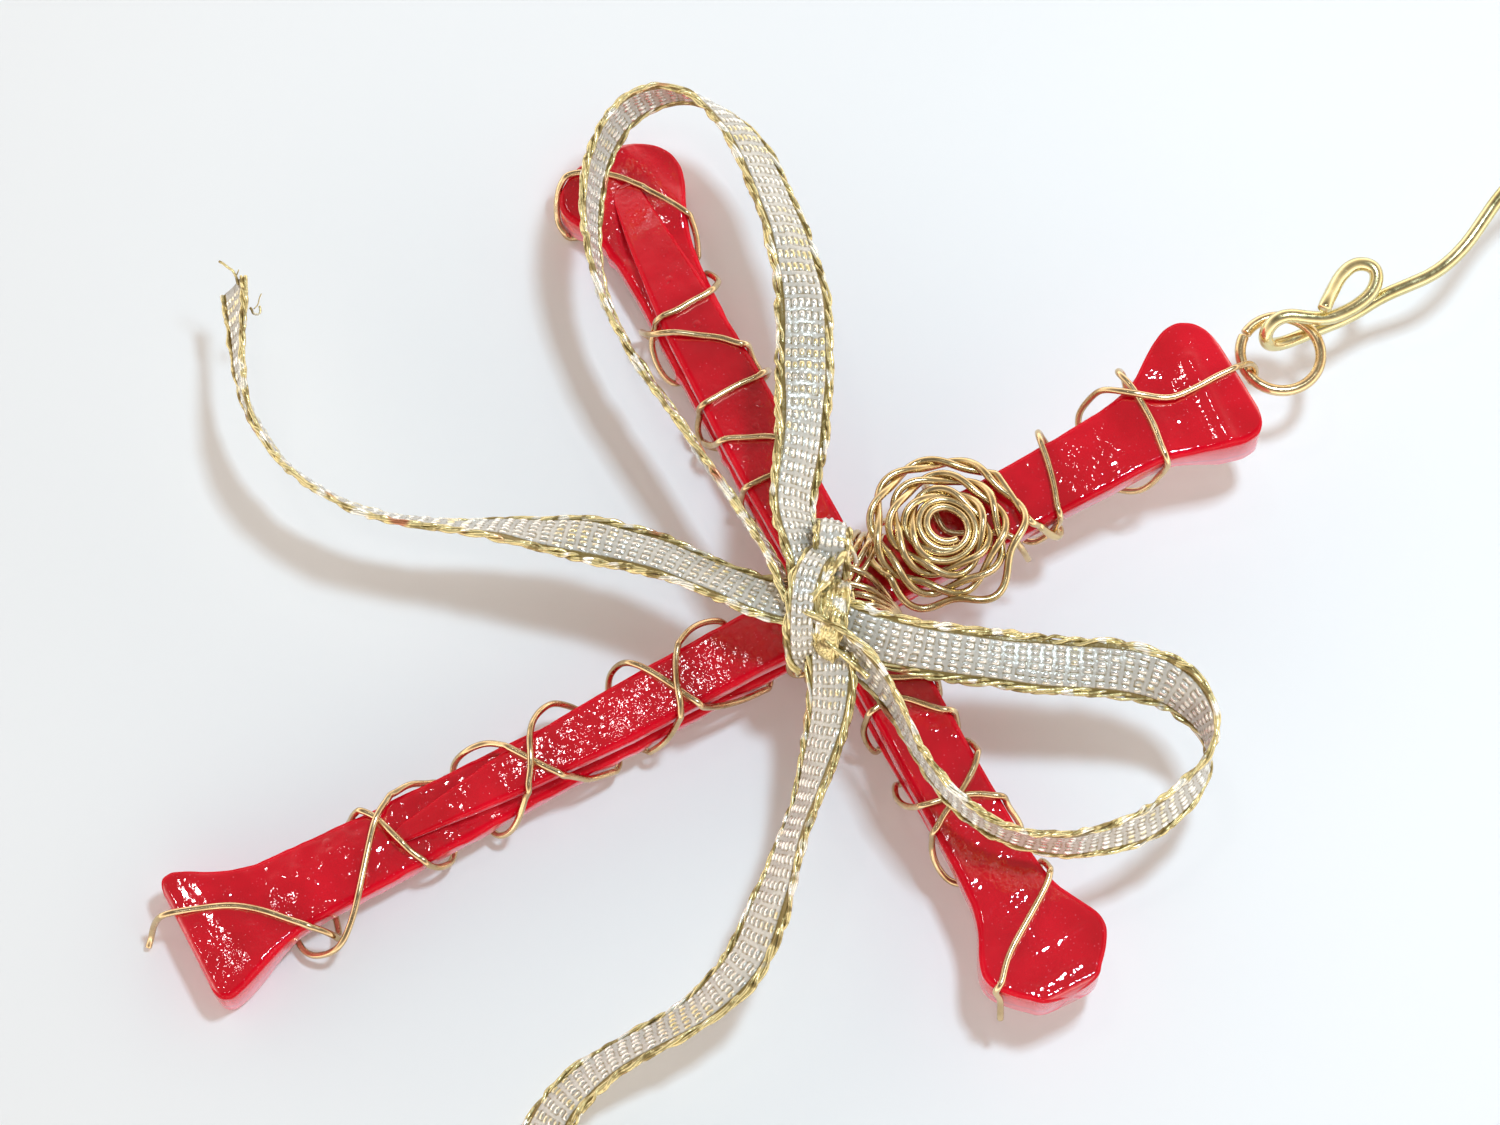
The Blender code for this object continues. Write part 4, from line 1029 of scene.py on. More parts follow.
@dataclass(frozen=True)
class Lashing:
    """Wire wound cornerwise over the crossing, under the knot of the bow.

    Each row of a corner is a turn: its points over the top, and the place of the corner
    that it goes down past. Every turn comes up at the opposite corner, start. climb and
    fall give how far out each of the points below lies, as a share of the corner's
    distance, and its height. Under the nails a turn runs low from corner to corner.
    """

    diameter: float = 0.42
    climb: Pairs = ((0.5, 0.42), (1.0, 1.2), (1.04, 3.0))
    fall: Pairs = ((1.0, 3.4), (0.9, 1.4), (0.4, 0.42))
    right_start: tuple[float, float] = (-2.7, -3.1)
    top_start: tuple[float, float] = (2.2, -3.4)
    right_corner: Turns = (
        (((-1.9, -2.3, 7.2), (-1.3, 0.35, 8.0), (-0.96, 0.79, 8.1), (-0.37, 1.31, 8.05), (0.15, 1.72, 7.75),
          (0.75, 2.0, 7.25), (1.5, 2.25, 6.5), (2.2, 2.55, 5.4)), (2.3, 2.7)),
        (((-2.0, -3.0, 6.4), (-0.49, -0.23, 7.8), (-0.12, 0.33, 7.9), (0.58, 1.16, 7.8), (1.2, 1.72, 7.45),
          (1.9, 2.2, 6.7), (2.45, 2.5, 5.5)), (2.5, 2.6)),
        (((-1.7, -3.6, 6.2), (0.28, 0.01, 7.6), (1.13, 1.05, 7.7), (1.6, 1.55, 7.4), (2.1, 2.05, 6.8),
          (2.55, 2.35, 5.6)), (2.55, 2.45)),
        (((-2.6, -3.9, 5.6), (-2.4, -3.0, 7.2), (0.9, 0.03, 7.5), (1.59, 1.0, 7.6), (2.03, 1.65, 7.2),
          (2.42, 2.1, 6.5), (2.6, 2.2, 5.6)), (2.65, 2.3)))
    top_corner: Turns = (
        (((1.95, -4.5, 3.2), (1.45, -4.55, 5.0), (0.85, -4.35, 6.4), (0.2, -3.4, 7.4), (-2.6, 1.2, 7.5),
          (-3.1, 1.75, 7.0), (-3.5, 2.4, 6.0)), (-3.3, 2.4)),
        (((2.0, -3.8, 4.0), (1.7, -3.85, 5.4), (1.1, -3.75, 6.8), (0.5, -2.9, 7.6), (-2.2, 1.4, 7.7),
          (-2.8, 2.1, 7.1), (-3.3, 2.8, 5.8)), (-3.1, 2.8)),
        (((2.0, -3.2, 4.4), (1.75, -3.15, 5.8), (1.3, -3.0, 6.9), (0.7, -2.2, 7.7), (-1.8, 1.7, 7.8),
          (-2.5, 2.5, 7.1), (-3.0, 3.2, 5.6)), (-2.8, 3.2)),
        (((1.95, -2.6, 4.8), (1.6, -2.5, 6.4), (0.9, -1.6, 7.5), (-1.4, 2.0, 7.8), (-2.1, 2.9, 7.2),
          (-2.65, 3.6, 5.6)), (-2.5, 3.5)),
        (((1.9, -2.1, 5.2), (1.4, -1.8, 6.6), (0.8, -0.8, 7.4), (-0.7, 1.9, 7.6), (-1.5, 3.0, 7.3),
          (-2.35, 4.0, 5.9)), (-2.4, 3.9)))

    def coil(self, turns: Turns, start: tuple[float, float]) -> Array:
        """Points of one coil: over the top, down past the corner, and back underneath.

        Args:
            turns: points over the top and the corner of each turn.
            start: place low under the opposite corner, where each turn comes up.

        Returns:
            Points of the whole wire in millimetres.
        """
        rows: list[Triple] = []
        for over, corner in turns:
            rows += [(share * start[0], share * start[1], height) for share, height in self.climb]
            rows += over
            rows += [(share * corner[0], share * corner[1], height) for share, height in self.fall]
        return as_array(rows)

    def build(self, metal: bpy.types.Material) -> None:
        """Both coils."""
        for name, turns, start in (("right", self.right_corner, self.right_start),
                                   ("top", self.top_corner, self.top_start)):
            wire = RoundWire("lashing_" + name, self.coil(turns, start), self.diameter, soften=0.14, seed=60)
            wire.build(metal, "binding_wire", (), "wire_centre")


@dataclass(frozen=True)
class TwistedRose:
    """Two strands twisted about each other and wound into a flat rose on the top arm.

    radii are the distances of the pair's middle from the hole at each quarter turn, going
    clockwise from the inner ends, and spread is half the width of the pair there. The pair
    lies straight at first and then turns once in each twist. droop is how far the rose
    sinks at both sides of the arm, at the distance rim. stacking is the space that the two
    strands take one above the other, in strands.
    """

    hole: tuple[float, float] = (-0.52, 6.95)
    height: float = 8.75
    strand: float = 0.47
    radii: tuple[float, ...] = (1.5, 1.3, 1.28, 1.3, 1.95, 2.1, 2.1, 2.05, 2.8, 2.95, 3.1, 3.1, 3.75, 4.0,
                                4.2, 4.3, 4.75, 4.7)
    spread: tuple[float, ...] = (0.24, 0.235, 0.235, 0.24, 0.24, 0.24, 0.24, 0.25, 0.26, 0.27, 0.27, 0.27,
                                 0.3, 0.28, 0.26, 0.3, 0.42, 0.3)
    first: float = -0.45
    twist: float = 5.0
    straight: float = 11.0
    droop: float = 1.25
    rim: float = 4.5
    stacking: float = 1.08
    wander: float = 0.07
    step: float = 0.1
    nail_gap: float = 0.02
    exit: Rows = ((1.55, 11.46, 8.55), (1.92, 11.96, 7.9), (2.46, 12.65, 6.5), (2.5, 13.2, 5.7),
                  (1.9, 13.6, 5.3), (0.2, 13.2, 4.9))
    tuck: Rows = ((-0.5, 2.3, 7.6), (-1.6, 2.5, 7.3), (-2.9, 3.6, 6.7), (-3.2, 4.6, 5.6))

    def strand_route(self, side: float, ending: Rows, quarters: int) -> Array:
        """Route of one strand over a number of quarter turns, then along its ending.

        The angle goes down by a quarter turn for each radius given, and the radius is a
        smooth curve through them. The strand is beside the middle by the spread times
        the cosine of its spin, and above it by about its own radius times the sine.

        Args:
            side: 1 for the strand that starts outside, -1 for the other.
            ending: points from the rose's rim to the strand's end.
            quarters: how many of the radii the strand follows.

        Returns:
            Points in millimetres.
        """
        table = np.column_stack([np.arange(len(self.radii)) + self.first, self.radii, self.spread])
        quarter, radius, spread = spline(table[:quarters], 90).T
        angle = -0.5 * math.pi * (1.0 + quarter)
        reach = np.abs(np.diff(angle)) * 0.5 * (radius[1:] + radius[:-1])
        travelled = np.concatenate([[0.0], np.cumsum(reach)])
        spin = 2.0 * math.pi * np.maximum(travelled - self.straight, 0.0) / self.twist
        out = radius + side * spread * np.cos(spin)
        right, up = out * np.cos(angle), out * np.sin(angle)
        drop = self.droop * (out / self.rim) ** 2 * np.sin(angle) ** 2
        lift = side * 0.5 * self.strand * self.stacking * np.sin(spin)
        wander = self.wander * noise_along(travelled, side, 3.0, 9)
        x = self.hole[0] + PHOTO_RIGHT[0] * right - PHOTO_RIGHT[1] * up
        y = self.hole[1] + PHOTO_RIGHT[1] * right + PHOTO_RIGHT[0] * up
        coil = evenly(np.stack([x, y, self.height - drop + lift + wander], axis=-1), self.step)
        leave = smooth_route(np.vstack([coil[-8:-2:3], as_array(ending)]), self.step, self.step)
        return blurred(np.vstack([coil[:-8], leave]), 1.6)

    def build(self, metal: bpy.types.Material, nails: tuple[HorseshoeNail, ...]) -> None:
        """Both strands in their places."""
        for letter, side, ending, quarters in (("a", 1.0, self.exit, 16), ("b", -1.0, self.tuck, 18)):
            route = self.strand_route(side, ending, quarters)
            for nail in nails:
                route = nail.clear_of(route, 0.5 * self.strand + self.nail_gap)
            grid = tube_grid(evenly(blurred(route, 0.8), self.step), 0.5 * self.strand, 14)
            piece = closed_mesh("rose_strand_" + letter, grid)
            show_piece(piece, metal, "coil_wire", "coil_strand_" + letter)


@dataclass(frozen=True)
class JumpRing:
    """Cut ring of round wire, lying flat, with its two cut ends sprung up and down.

    cut is the direction of the gap from the centre, and gap its width, both in degrees.
    """

    centre: Triple = (-1.14, 30.58, 6.5)
    radius: float = 2.43
    wire: float = 0.68
    cut: float = 212.0
    gap: float = 9.0
    spring: float = 0.10

    def build(self, metal: bpy.types.Material) -> None:
        """Ring from one cut end round to the other."""
        half_gap = 0.5 * self.gap
        angle = np.radians(np.linspace(self.cut + half_gap, self.cut + 360.0 - half_gap, 160))
        rise = self.spring * np.cos(0.5 * (angle - math.radians(self.cut)))
        circle = np.column_stack([self.radius * np.cos(angle), self.radius * np.sin(angle), rise])
        grid = tube_grid(circle + as_array(self.centre), 0.5 * self.wire, 20)
        show_piece(closed_mesh("gold_jump_ring", grid), metal, "jump_ring", "jump_ring")


@dataclass(frozen=True)
class EarHook:
    """Hook of springy wire: two small eyes, a shaft, and a crook that rests on the table.

    The route is given about the centre of the solids' ring. The crook is part of a circle
    whose height goes down evenly with x, from the end of the shaft to the table.
    """

    middle: Triple = (-1.0, 30.5, 6.51)
    wire: float = 0.85
    crook_middle: tuple[float, float] = (3.6, 22.7)
    crook_radius: float = 7.0
    crook_ends: tuple[float, float] = (190.0, -32.0)
    crook_rest: float = 0.55
    points: Rows = (
        (-0.8, 3.25, 2.0), (-1.1, 3.6, 1.95), (-1.6, 4.3, 1.65), (-2.35, 5.4, 1.3), (-2.7, 6.5, 1.1),
        (-2.5, 7.3, 0.9), (-2.0, 7.7, 0.8), (-1.4, 7.5, 0.7), (-0.8, 6.8, 0.65), (-0.5, 5.8, 0.65),
        (-0.4, 4.7, 0.75), (-0.5, 3.5, 0.9), (-1.05, 2.4, 1.05), (-1.7, 1.4, 1.15), (-1.85, 0.5, 0.95),
        (-1.55, -0.2, 0.3), (-1.15, -0.15, -0.4), (-0.95, 0.7, -0.85), (-0.85, 1.9, -1.0),
        (-0.75, 3.2, -1.0), (-0.6, 4.6, -0.95), (-0.55, 5.9, -0.8), (-0.6, 6.9, -0.6), (-0.55, 7.9, -0.35),
        (-0.35, 9.1, 0.0), (-0.15, 10.5, 0.4), (-0.2, 11.7, 0.8), (-0.6, 13.2, 1.2), (-1.3, 14.7, 1.5),
        (-2.05, 16.2, 1.7), (-2.7, 17.9, 1.8), (-3.15, 19.7, 1.8))

    def route(self) -> Array:
        """Points of the whole wire."""
        shaft = as_array(self.points) + as_array(self.middle)
        angle = np.radians(np.linspace(*self.crook_ends, 10))
        share = 0.5 * (1.0 + np.cos(angle))
        height = shaft[-1, 2] + (self.crook_rest - shaft[-1, 2]) * share
        x, y = (self.middle[axis] + self.crook_middle[axis] for axis in range(2))
        crook = np.column_stack([x + self.crook_radius * np.cos(angle),
                                 y + self.crook_radius * np.sin(angle), height])
        return smooth_route(np.vstack([shaft, crook]), 0.14, 0.3)

    def build(self, metal: bpy.types.Material) -> None:
        """Hook in its place."""
        grid = tube_grid(self.route(), 0.5 * self.wire, 20)
        show_piece(closed_mesh("gold_hook", grid), metal, "hook", "hook")


@dataclass
class WovenBand:
    """Narrow woven ribbon: rows of raised floats between two twisted gold edges.

    edge is the width kept for each edge, and pitch the length of a float and its gap, of
    which the float has float_share. From row to row the floats are shifted by up to
    row_shift of a pitch, and by up to slow_shift along the band. slant is the shift for
    each millimetre across. camber and ripple raise the middle of the band and make its
    face uneven. yarn is the radius of an edge yarn, coil how far it winds off the edge
    line, lay the length of one winding, and inset how far the line is inside the width.
    """

    width: float = 3.5
    edge: float = 0.55
    thick: float = 0.14
    rows: int = 6
    pitch: float = 0.78
    float_share: float = 0.66
    float_height: float = 0.16
    weft_height: float = 0.36
    row_shift: float = 0.14
    slow_shift: float = 0.3
    slant: float = 0.05
    step: float = 0.09
    across: int = 44
    camber: float = 0.16
    ripple: float = 0.10
    yarn: float = 0.115
    yarns: int = 3
    yarn_step: float = 0.15
    wobble: float = 0.08
    coil: float = 0.16
    inset: float = 0.26
    lay: float = 4.2
    soften: float = 1.2
    seed: int = 70

    def frames(self, controls: Array) -> tuple[Array, Array, Array]:
        """Middle line, width direction and face direction of a banked stretch.

        The width direction is the level sideways direction turned about the way of
        travel by the bank, and the face direction is square to both.

        Args:
            controls: rows of x, y, z and the bank in degrees.

        Returns:
            Points, width directions and face directions, one row for each station.
        """
        route = smooth_route(controls, self.step, self.soften)
        points, bank = route[:, :3], np.radians(route[:, 3:4])
        travel = directions(points)
        level = unit(np.cross(travel, UP))
        wide = level * np.cos(bank) + np.cross(travel, level) * np.sin(bank)
        return points, wide, np.cross(wide, travel)

    def weave(self, along: Array, across: Array, side: int) -> Array:
        """Height of the weave from 0 to 1.

        Each row is a line of short floats. A float is a half ellipse along the band times
        a rounded half sine across it, scaled by a value of its own. Between the lines of
        floats a smooth weft band lies at about a third of the height, and between two
        floats side by side the height falls to nothing.

        Args:
            along: millimetres travelled at each point.
            across: millimetres from the middle line.
            side: 1 for the upper face, 2 for the lower, which has a pattern of its own.

        Returns:
            One value for each point.
        """
        span = self.width - 2.0 * self.edge
        place = (across + 0.5 * span) / span * self.rows
        row = np.clip(np.floor(place), 0, self.rows - 1).astype(np.int64)
        shift = self.row_shift * lattice_value(np.stack([row, row * 0 + side], axis=-1), self.seed)
        slow = self.slow_shift * noise_along(along * 0.25, side * 9.0, 1.0, self.seed + 3)
        phase = along / self.pitch + shift + slow + self.slant * across
        column = np.floor(phase).astype(np.int64)
        own = lattice_value(np.stack([row, column, column * 0 + side], axis=-1), self.seed + 1)
        from_middle = np.abs(2.0 * (phase - column) - 1.0)
        along_shape = np.sqrt(np.clip(1.0 - (from_middle / self.float_share) ** 2, 0.0, 1.0))
        across_shape = np.abs(np.sin(math.pi * place)) ** 0.8
        weft = self.weft_height * np.clip((from_middle - self.float_share + 0.08) / 0.14, 0.0, 1.0)
        inside = (np.abs(across) < 0.5 * span).astype(float)
        return np.maximum(along_shape * across_shape * (0.6 + 0.4 * own), weft) * inside

    def cloth(self, name: str, controls: Array) -> bpy.types.Object:
        """Closed woven band along a stretch, with floats on both faces."""
        points, wide, face = self.frames(controls)
        travelled = np.arange(len(points)) * self.step
        half = 0.5 * (self.width - self.edge)
        spread = np.linspace(-half, half, self.across)
        both = np.concatenate([spread, spread[::-1]])
        sign = np.repeat([1.0, -1.0], self.across)
        along, across = np.broadcast_arrays(travelled[:, None], both)
        height = np.where(sign > 0.0, self.weave(along, across, 1), self.weave(along, across, 2))
        camber = self.camber * (1.0 - (across / half) ** 2)
        ripple = self.ripple * soft_noise(np.stack([along, across * 0.7], axis=-1), 2.4, self.seed + 5)
        lift = sign * (0.5 * self.thick + self.float_height * height) + camber + ripple
        squeeze = 1.0 + 0.05 * noise_along(travelled, 0.0, 3.0, self.seed + 6)
        grid = (points[:, None] + wide[:, None] * (across * squeeze[:, None])[..., None]
                + face[:, None] * lift[..., None])
        return closed_mesh(name, grid, {"weave": height})

    def edges(self, name: str, controls: Array) -> list[bpy.types.Object]:
        """Gold yarns of both edges, which wind about the edge line and bulge at places.

        A yarn is at the edge line plus a small circle that it goes round once in each lay,
        flattened towards the face, with soft noise on the circle and on the line.

        Args:
            name: name of the stretch.
            controls: rows of x, y, z and the bank in degrees.

        Returns:
            The yarns of the left edge, then those of the right.
        """
        points, wide, face = self.frames(controls)
        travelled = np.arange(len(points)) * self.step
        made = []
        for side, hand in (("left", -1.0), ("right", 1.0)):
            wobble = self.wobble * noise_along(travelled, hand * 7.0, 1.5, self.seed + 8)
            out = hand * (0.5 * self.width - self.inset + wobble)
            up = 0.02 + 0.06 * wobble
            for yarn in range(self.yarns):
                seed = self.seed + 20 + yarn + int(hand * 3)
                drift = noise_along(travelled, seed, 1.1, seed)
                spin = 2.0 * math.pi * (travelled / self.lay + yarn / self.yarns) + 1.1 * drift
                coil = self.coil * (1.0 + 0.5 * drift)
                path = evenly(points + wide * (out + coil * np.cos(spin))[:, None]
                              + face * (up + 0.75 * coil * np.sin(spin))[:, None], self.yarn_step)
                grid = tube_grid(path, self.yarn, 8, 0.4 * soft_noise(path, 0.5, seed))
                made.append(closed_mesh(f"{name}_{side}_yarn_{yarn + 1}", grid))
        return made

    def build(self, name: str, controls: Array, cloth_look: bpy.types.Material,
              edge_look: bpy.types.Material, *nodes: str) -> None:
        """Band and edge yarns of a stretch."""
        show_piece(self.cloth(name, controls), cloth_look, "ribbon", *nodes)
        for yarn in self.edges(name, controls):
            show_piece(yarn, edge_look, "ribbon")


@dataclass
class RibbonBow:
    """Bow of one ribbon: rows of (x, y, z, bank in degrees) from the knot outwards."""

    band: WovenBand = field(default_factory=WovenBand)
    left_tail: BankedRows = (
        (0.9, -2.7, 10.5, 12), (-0.6, -4.6, 10.3, 22), (-2.4, -6.0, 10.0, 30), (-4.6, -7.5, 9.6, 30),
        (-6.9, -9.3, 9.2, 22), (-9.0, -11.4, 9.0, 15), (-10.8, -13.8, 8.8, 32), (-12.6, -16.2, 8.5, 50),
        (-14.3, -18.7, 8.2, 62), (-15.9, -21.0, 8.0, 65), (-17.8, -22.9, 7.8, 66), (-19.9, -24.4, 7.6, 74),
        (-22.4, -25.5, 7.4, 80), (-25.0, -25.95, 7.2, 83), (-27.55, -25.8, 7.1, 94),
        (-30.15, -25.0, 7.0, 105), (-32.7, -23.9, 7.0, 114), (-34.7, -23.1, 7.0, 119))
    lower_tail: BankedRows = (
        (0.6, -1.7, 9.9, 8), (2.6, -2.5, 9.9, 20), (4.6, -3.3, 9.5, 30), (6.7, -4.7, 8.8, 36),
        (9.0, -6.7, 8.1, 50), (11.0, -8.9, 7.6, 62), (13.0, -11.1, 7.1, 54), (15.0, -13.2, 6.5, 38),
        (16.8, -15.6, 5.8, 32), (17.7, -18.3, 5.1, 38), (17.8, -21.1, 4.4, 44), (17.7, -24.0, 3.7, 46),
        (17.9, -26.9, 3.1, 38), (19.0, -29.6, 2.5, 30), (20.8, -31.8, 2.2, 24))
    right_loop: BankedRows = (
        (0.6, -2.9, 10.3, 16), (2.1, -2.3, 10.8, 24), (3.6, -1.2, 10.8, 30), (5.1, 0.25, 10.7, 32),
        (6.09, 1.91, 9.84, 30), (7.48, 4.02, 9.38, 20), (8.9, 6.12, 9.03, 12), (10.3, 8.27, 8.8, 10),
        (11.6, 10.47, 8.8, 14), (13, 12.57, 8.7, 26), (14.9, 14.17, 8.5, 48), (17.2, 14.67, 8.3, 72),
        (19.3, 13.77, 8, 94), (20.4, 11.67, 7.7, 108), (20.94, 9.1, 7.94, 112), (20.81, 6.21, 8.29, 104),
        (19.99, 3.51, 8.74, 96), (18.53, 1.24, 9.18, 92), (16.4, -0.4, 9.4, 91), (13.8, -1.2, 9.4, 90),
        (11, -1.4, 9.5, 90), (8.1, -1.3, 9.8, 97), (5.3, -1.7, 10.2, 106), (3.2, -2.7, 10.3, 110),
        (1.6, -3.9, 10.3, 112))
    upper_loop: BankedRows = (
        (0.7, -2.5, 10.0, 14), (-0.8, -1.6, 10.7, 28), (-2.2, -1.3, 10.6, 38), (-4.1, -1.3, 10.4, 42),
        (-6.3, 0.0, 10.4, 36), (-8.3, 1.6, 10.8, 26), (-10.5, 3.0, 11.1, 10), (-12.9, 4.3, 11.3, 4),
        (-15.3, 5.6, 11.4, 8), (-18.1, 6.6, 11.2, 26), (-21.0, 7.3, 10.9, 36), (-24.0, 7.8, 10.5, 38),
        (-27.0, 8.1, 10.1, 42), (-29.9, 7.7, 9.8, 58), (-32.2, 6.3, 9.5, 78), (-33.2, 3.8, 9.2, 98),
        (-32.0, 1.0, 8.9, 108), (-29.2, -1.5, 8.6, 108), (-26.2, -3.0, 8.4, 104), (-23.0, -3.9, 8.3, 100),
        (-19.8, -4.1, 8.3, 102), (-16.6, -4.0, 8.4, 106), (-13.4, -3.7, 8.6, 104), (-10.2, -3.5, 8.8, 102),
        (-7.0, -3.3, 9.3, 104), (-3.8, -3.2, 9.9, 106), (-1.6, -3.3, 10.1, 106), (0.2, -3.6, 10.0, 106))

    def build(self, cloth_look: bpy.types.Material, edge_look: bpy.types.Material) -> None:
        """Every stretch of the bow."""
        for name in ("left_tail", "lower_tail", "right_loop", "upper_loop"):
            rows = as_array(getattr(self, name))
            self.band.build("ribbon_" + name, rows, cloth_look, edge_look, "ribbon_bow")


@dataclass
class BowKnot:
    """Tight knot at the middle of the bow: short folds of the ribbon and loose gold yarns."""

    wrap: BankedRows = (
        (2.9, -4.3, 8.0, 0), (2.75, -4.35, 9.4, 0), (2.1, -4.05, 10.7, 4), (1.1, -3.5, 11.5, 8),
        (0.1, -2.8, 11.9, 4), (-0.75, -1.9, 11.8, -6), (-1.35, -1.0, 11.2, -10), (-1.7, -0.4, 10.1, -8),
        (-1.7, -0.2, 8.8, -4))
    top_fold: BankedRows = (
        (-0.55, -0.75, 9.8, 0), (-1.05, -0.35, 11.0, -6), (-1.7, 0.05, 11.6, -4), (-2.35, 0.45, 11.5, 6),
        (-2.85, 0.75, 10.7, 10), (-2.95, 0.85, 9.4, 6))
    side_fold: BankedRows = (
        (0.3, -0.9, 10.6, -10), (0.95, -1.2, 11.4, -4), (1.7, -1.7, 11.7, 4), (2.5, -2.3, 11.5, 14),
        (3.2, -2.9, 10.8, 24), (3.6, -3.3, 9.8, 28))
    cross_yarns: tuple[Rows, ...] = (
        ((-1.6, 1.2, 10.3), (-1.1, 0.7, 11.2), (-0.5, 0.0, 11.7), (0.0, -0.9, 12.0), (0.5, -1.8, 12.1),
         (0.9, -2.6, 11.9), (1.3, -3.2, 11.2)),
        ((2.6, -1.9, 11.3), (2.15, -1.75, 11.9), (2.2, -2.1, 12.2), (2.6, -2.35, 12.1), (2.9, -2.3, 11.6),
         (2.8, -2.0, 11.2)),
        ((3.3, -3.1, 10.9), (4.2, -2.75, 10.95), (5.2, -2.3, 10.7), (6.2, -1.9, 10.4)),
        ((-0.2, -3.6, 10.9), (0.3, -3.3, 11.7), (0.75, -2.5, 12.0), (0.6, -1.6, 12.0), (0.2, -1.0, 11.5)),
        ((-2.2, -0.2, 11.4), (-1.5, 0.5, 11.8), (-0.7, 0.9, 11.2), (-0.3, 0.9, 10.3)))
    yarn_widths: tuple[float, ...] = (0.42, 0.2, 0.34, 0.3, 0.3)

    def build(self, cloth_look: bpy.types.Material, edge_look: bpy.types.Material) -> None:
        """Folds and yarns of the knot."""
        for name, width, cloth in (("wrap", 2.1, cloth_look), ("top_fold", 2.3, cloth_look),
                                   ("side_fold", 1.9, edge_look)):
            band = WovenBand(width=width, edge=0.4, rows=4, across=36, seed=90, pitch=0.66,
                             float_height=0.24, soften=0.45)
            band.build("knot_" + name, as_array(getattr(self, name)), cloth, edge_look)
        for order, rows in enumerate(self.cross_yarns):
            route = smooth_route(as_array(rows), 0.1, 0.15)
            swell = 0.35 * soft_noise(route, 0.45, 80 + order)
            grid = tube_grid(route, 0.5 * self.yarn_widths[order], 10, swell)
            show_piece(closed_mesh(f"knot_yarn_{order + 1}", grid), edge_look, "ribbon")


@dataclass(frozen=True)
class FrayedEnd:
    """Loose threads at the cut end of the left tail: points and thickness of each."""

    shake: float = 0.12
    threads: tuple[tuple[Rows, float], ...] = (
        (((-34.2, -22.9, 7.9), (-34.94, -22.85, 8.2), (-35.53, -23.0, 8.4), (-35.93, -23.31, 8.4)), 0.16),
        (((-32.9, -22.7, 6.9), (-32.95, -22.3, 7.1), (-33.29, -21.93, 7.4)), 0.08),
        (((-33.1, -22.9, 6.8), (-32.59, -22.77, 6.8), (-32.49, -22.43, 6.8), (-32.84, -22.3, 6.9)), 0.16),
        (((-34.4, -22.95, 7.8), (-34.67, -22.9, 8.0), (-34.94, -22.5, 8.2)), 0.08))

    def build(self, look: bpy.types.Material) -> None:
        """Every thread."""
        for order, (rows, width) in enumerate(self.threads):
            route = smooth_route(as_array(rows), 0.1, 0.1)
            shake = [soft_noise(route + 9.0 * axis, 0.5, 7) for axis in range(3)]
            grid = tube_grid(route + self.shake * np.stack(shake, axis=-1), 0.5 * width, 6)
            show_piece(closed_mesh(f"frayed_thread_{order + 1}", grid), look, "ribbon")


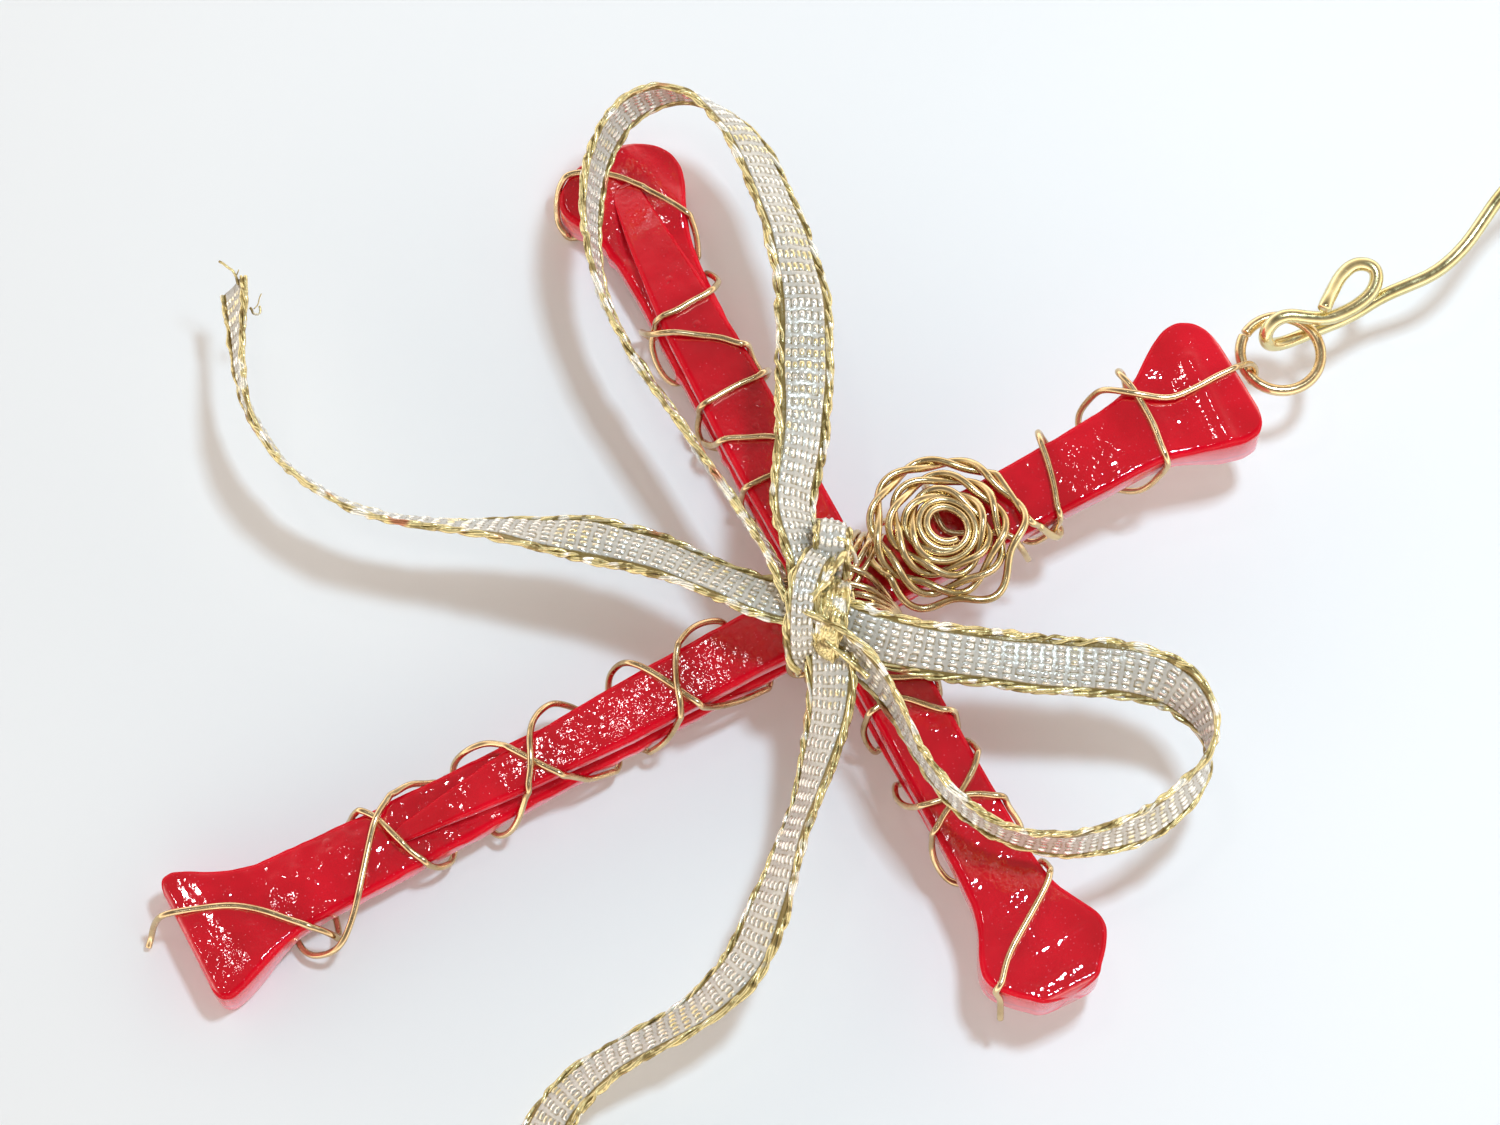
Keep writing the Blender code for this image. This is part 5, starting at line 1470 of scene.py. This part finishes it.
@dataclass
class Studio:
    """Pale table, soft light and the camera of the photograph.

    Each window is a direction, as a turn and a rise in degrees, with its strength. Half
    the table's width is in metres, and the table is darker in places by floor_shade.
    """

    azimuth: float = 61.78
    elevation: float = 70.0
    distance: float = 260.0
    target: Triple = (-6.53, -2.78, 0.0)
    focal_px: float = 4279.0
    frame_px: tuple[int, int] = (1500, 1125)
    floor_half: float = 1.5
    floor_colour: Triple = (0.85, 0.86, 0.86)
    floor_shade: float = 0.965
    key_place: Triple = (2.25, 54.0, 217.5)
    key_size: float = 0.027
    key_power: float = 0.296
    key_colour: Triple = (0.60, 0.79, 0.94)
    room_colour: Triple = (1.0, 0.90, 0.82)
    room_low: float = 0.16
    room_rise: float = 3.5
    windows: Rows = ((193.0, 72.0, 0.06), (-28.0, 77.0, 0.07), (95.0, 66.0, 0.05))
    window_angle: float = 2.6

    def camera(self) -> None:
        """Camera that looks down at the cross from above its right side."""
        ahead = pointing(self.azimuth + 90.0, -self.elevation)
        lens = bpy.data.cameras.new("photo_camera")
        lens.sensor_fit = "HORIZONTAL"
        lens.sensor_width = 36.0
        lens.lens = self.focal_px * lens.sensor_width / self.frame_px[0]
        lens.clip_start, lens.clip_end = 0.01, 10.0
        made = linked("photo_camera", lens)
        made.location = to_model(as_array(self.target) - ahead * self.distance)
        made.rotation_euler = Vector(ahead).to_track_quat("-Z", "Y").to_euler()
        bpy.context.scene.camera = made

    def floor(self) -> None:
        """Large plain table top."""
        mesh = bpy.data.meshes.new("table_top")
        half = self.floor_half
        corners = [(-half, -half, 0.0), (half, -half, 0.0), (half, half, 0.0), (-half, half, 0.0)]
        mesh.from_pydata(corners, [], [(0, 1, 2, 3)])
        look, writer, shader = new_material("table_top", {"Roughness": 0.6})
        cloud = writer.between(writer.noise(writer.place("Object"), 14.0, 2.0), 0.35, 0.7)
        tone = tuple(self.floor_shade * value for value in self.floor_colour)
        writer.join(writer.blend(cloud, self.floor_colour, tone), shader["Base Color"])
        mesh.materials.append(look)
        linked("table_top", mesh)

    def lamp(self, name: str, kind: str, **settings: object) -> bpy.types.Object:
        """New light of a kind, with its settings."""
        light = bpy.data.lights.new(name, kind)
        for key, setting in settings.items():
            setattr(light, key, setting)
        return linked(name, light)

    def lights(self) -> None:
        """Small cool key light above the far arm, faint distant windows, and a warm room.

        The room's brightness for a direction is low + rise (1 - u)^2, where u is the sine
        of the direction's height above the table.
        """
        key = self.lamp("key_light", "AREA", shape="SQUARE", size=self.key_size, energy=self.key_power,
                        color=self.key_colour)
        key.location = to_model(as_array(self.key_place))
        for order, (turn, rise, strength) in enumerate(self.windows):
            window = self.lamp(f"window_{order + 1}", "SUN", energy=strength,
                               angle=math.radians(self.window_angle))
            window.rotation_euler = Vector(pointing(turn, rise)).to_track_quat("Z", "Y").to_euler()
        world = bpy.data.worlds.new("room")
        bpy.context.scene.world = world
        world.use_nodes = True
        writer = NodeWriter(world.node_tree)
        split = writer.add("ShaderNodeSeparateXYZ")
        writer.join(writer.place("Generated"), split.inputs["Vector"])
        low_down = writer.between(split.outputs["Z"], 0.0, 1.0, 1.0, 0.0)
        square = writer.maths("MULTIPLY", low_down, low_down)
        strength = writer.maths("ADD", writer.maths("MULTIPLY", square, self.room_rise), self.room_low)
        back = world.node_tree.nodes["Background"]
        back.inputs["Color"].default_value = (*self.room_colour, 1.0)
        writer.join(strength, back.inputs["Strength"])

    def build(self) -> None:
        """Camera, table and lights, shown without a film curve."""
        bpy.context.scene.view_settings.view_transform = "Standard"
        self.camera()
        self.floor()
        self.lights()


def main() -> None:
    """Build the stage and every piece of the ornament."""
    logging.basicConfig(level=logging.INFO, format="%(name)s %(message)s")
    Studio().build()
    paint = EnamelFinish().material()
    drawn = drawn_wire_group()
    binding = WireFinish("binding_gold", (0.72, 0.54, 0.31), (0.33, 0.20, 0.08), 0.8).material(drawn)
    rose = WireFinish("rose_gold", (0.74, 0.57, 0.31), (0.40, 0.26, 0.08), 0.75).material(drawn)
    ring_gold = WireFinish("ring_gold", (0.80, 0.60, 0.33), (0.45, 0.27, 0.10), 0.6).material(drawn)
    hook_gold = WireFinish("hook_gold", (0.76, 0.66, 0.36), (0.50, 0.40, 0.15), 0.7).material(drawn)
    nails = cross_nails()
    for nail in nails:
        nail.build(paint)
    BindingWires().build(binding, nails)
    Lashing().build(binding)
    TwistedRose().build(rose, nails)
    JumpRing().build(ring_gold)
    EarHook().build(hook_gold)
    weave, lamella = WeaveFinish().material(), LamellaFinish().material()
    RibbonBow().build(weave, lamella)
    BowKnot().build(weave, lamella)
    FrayedEnd().build(lamella)


if __name__ == "__main__":
    main()
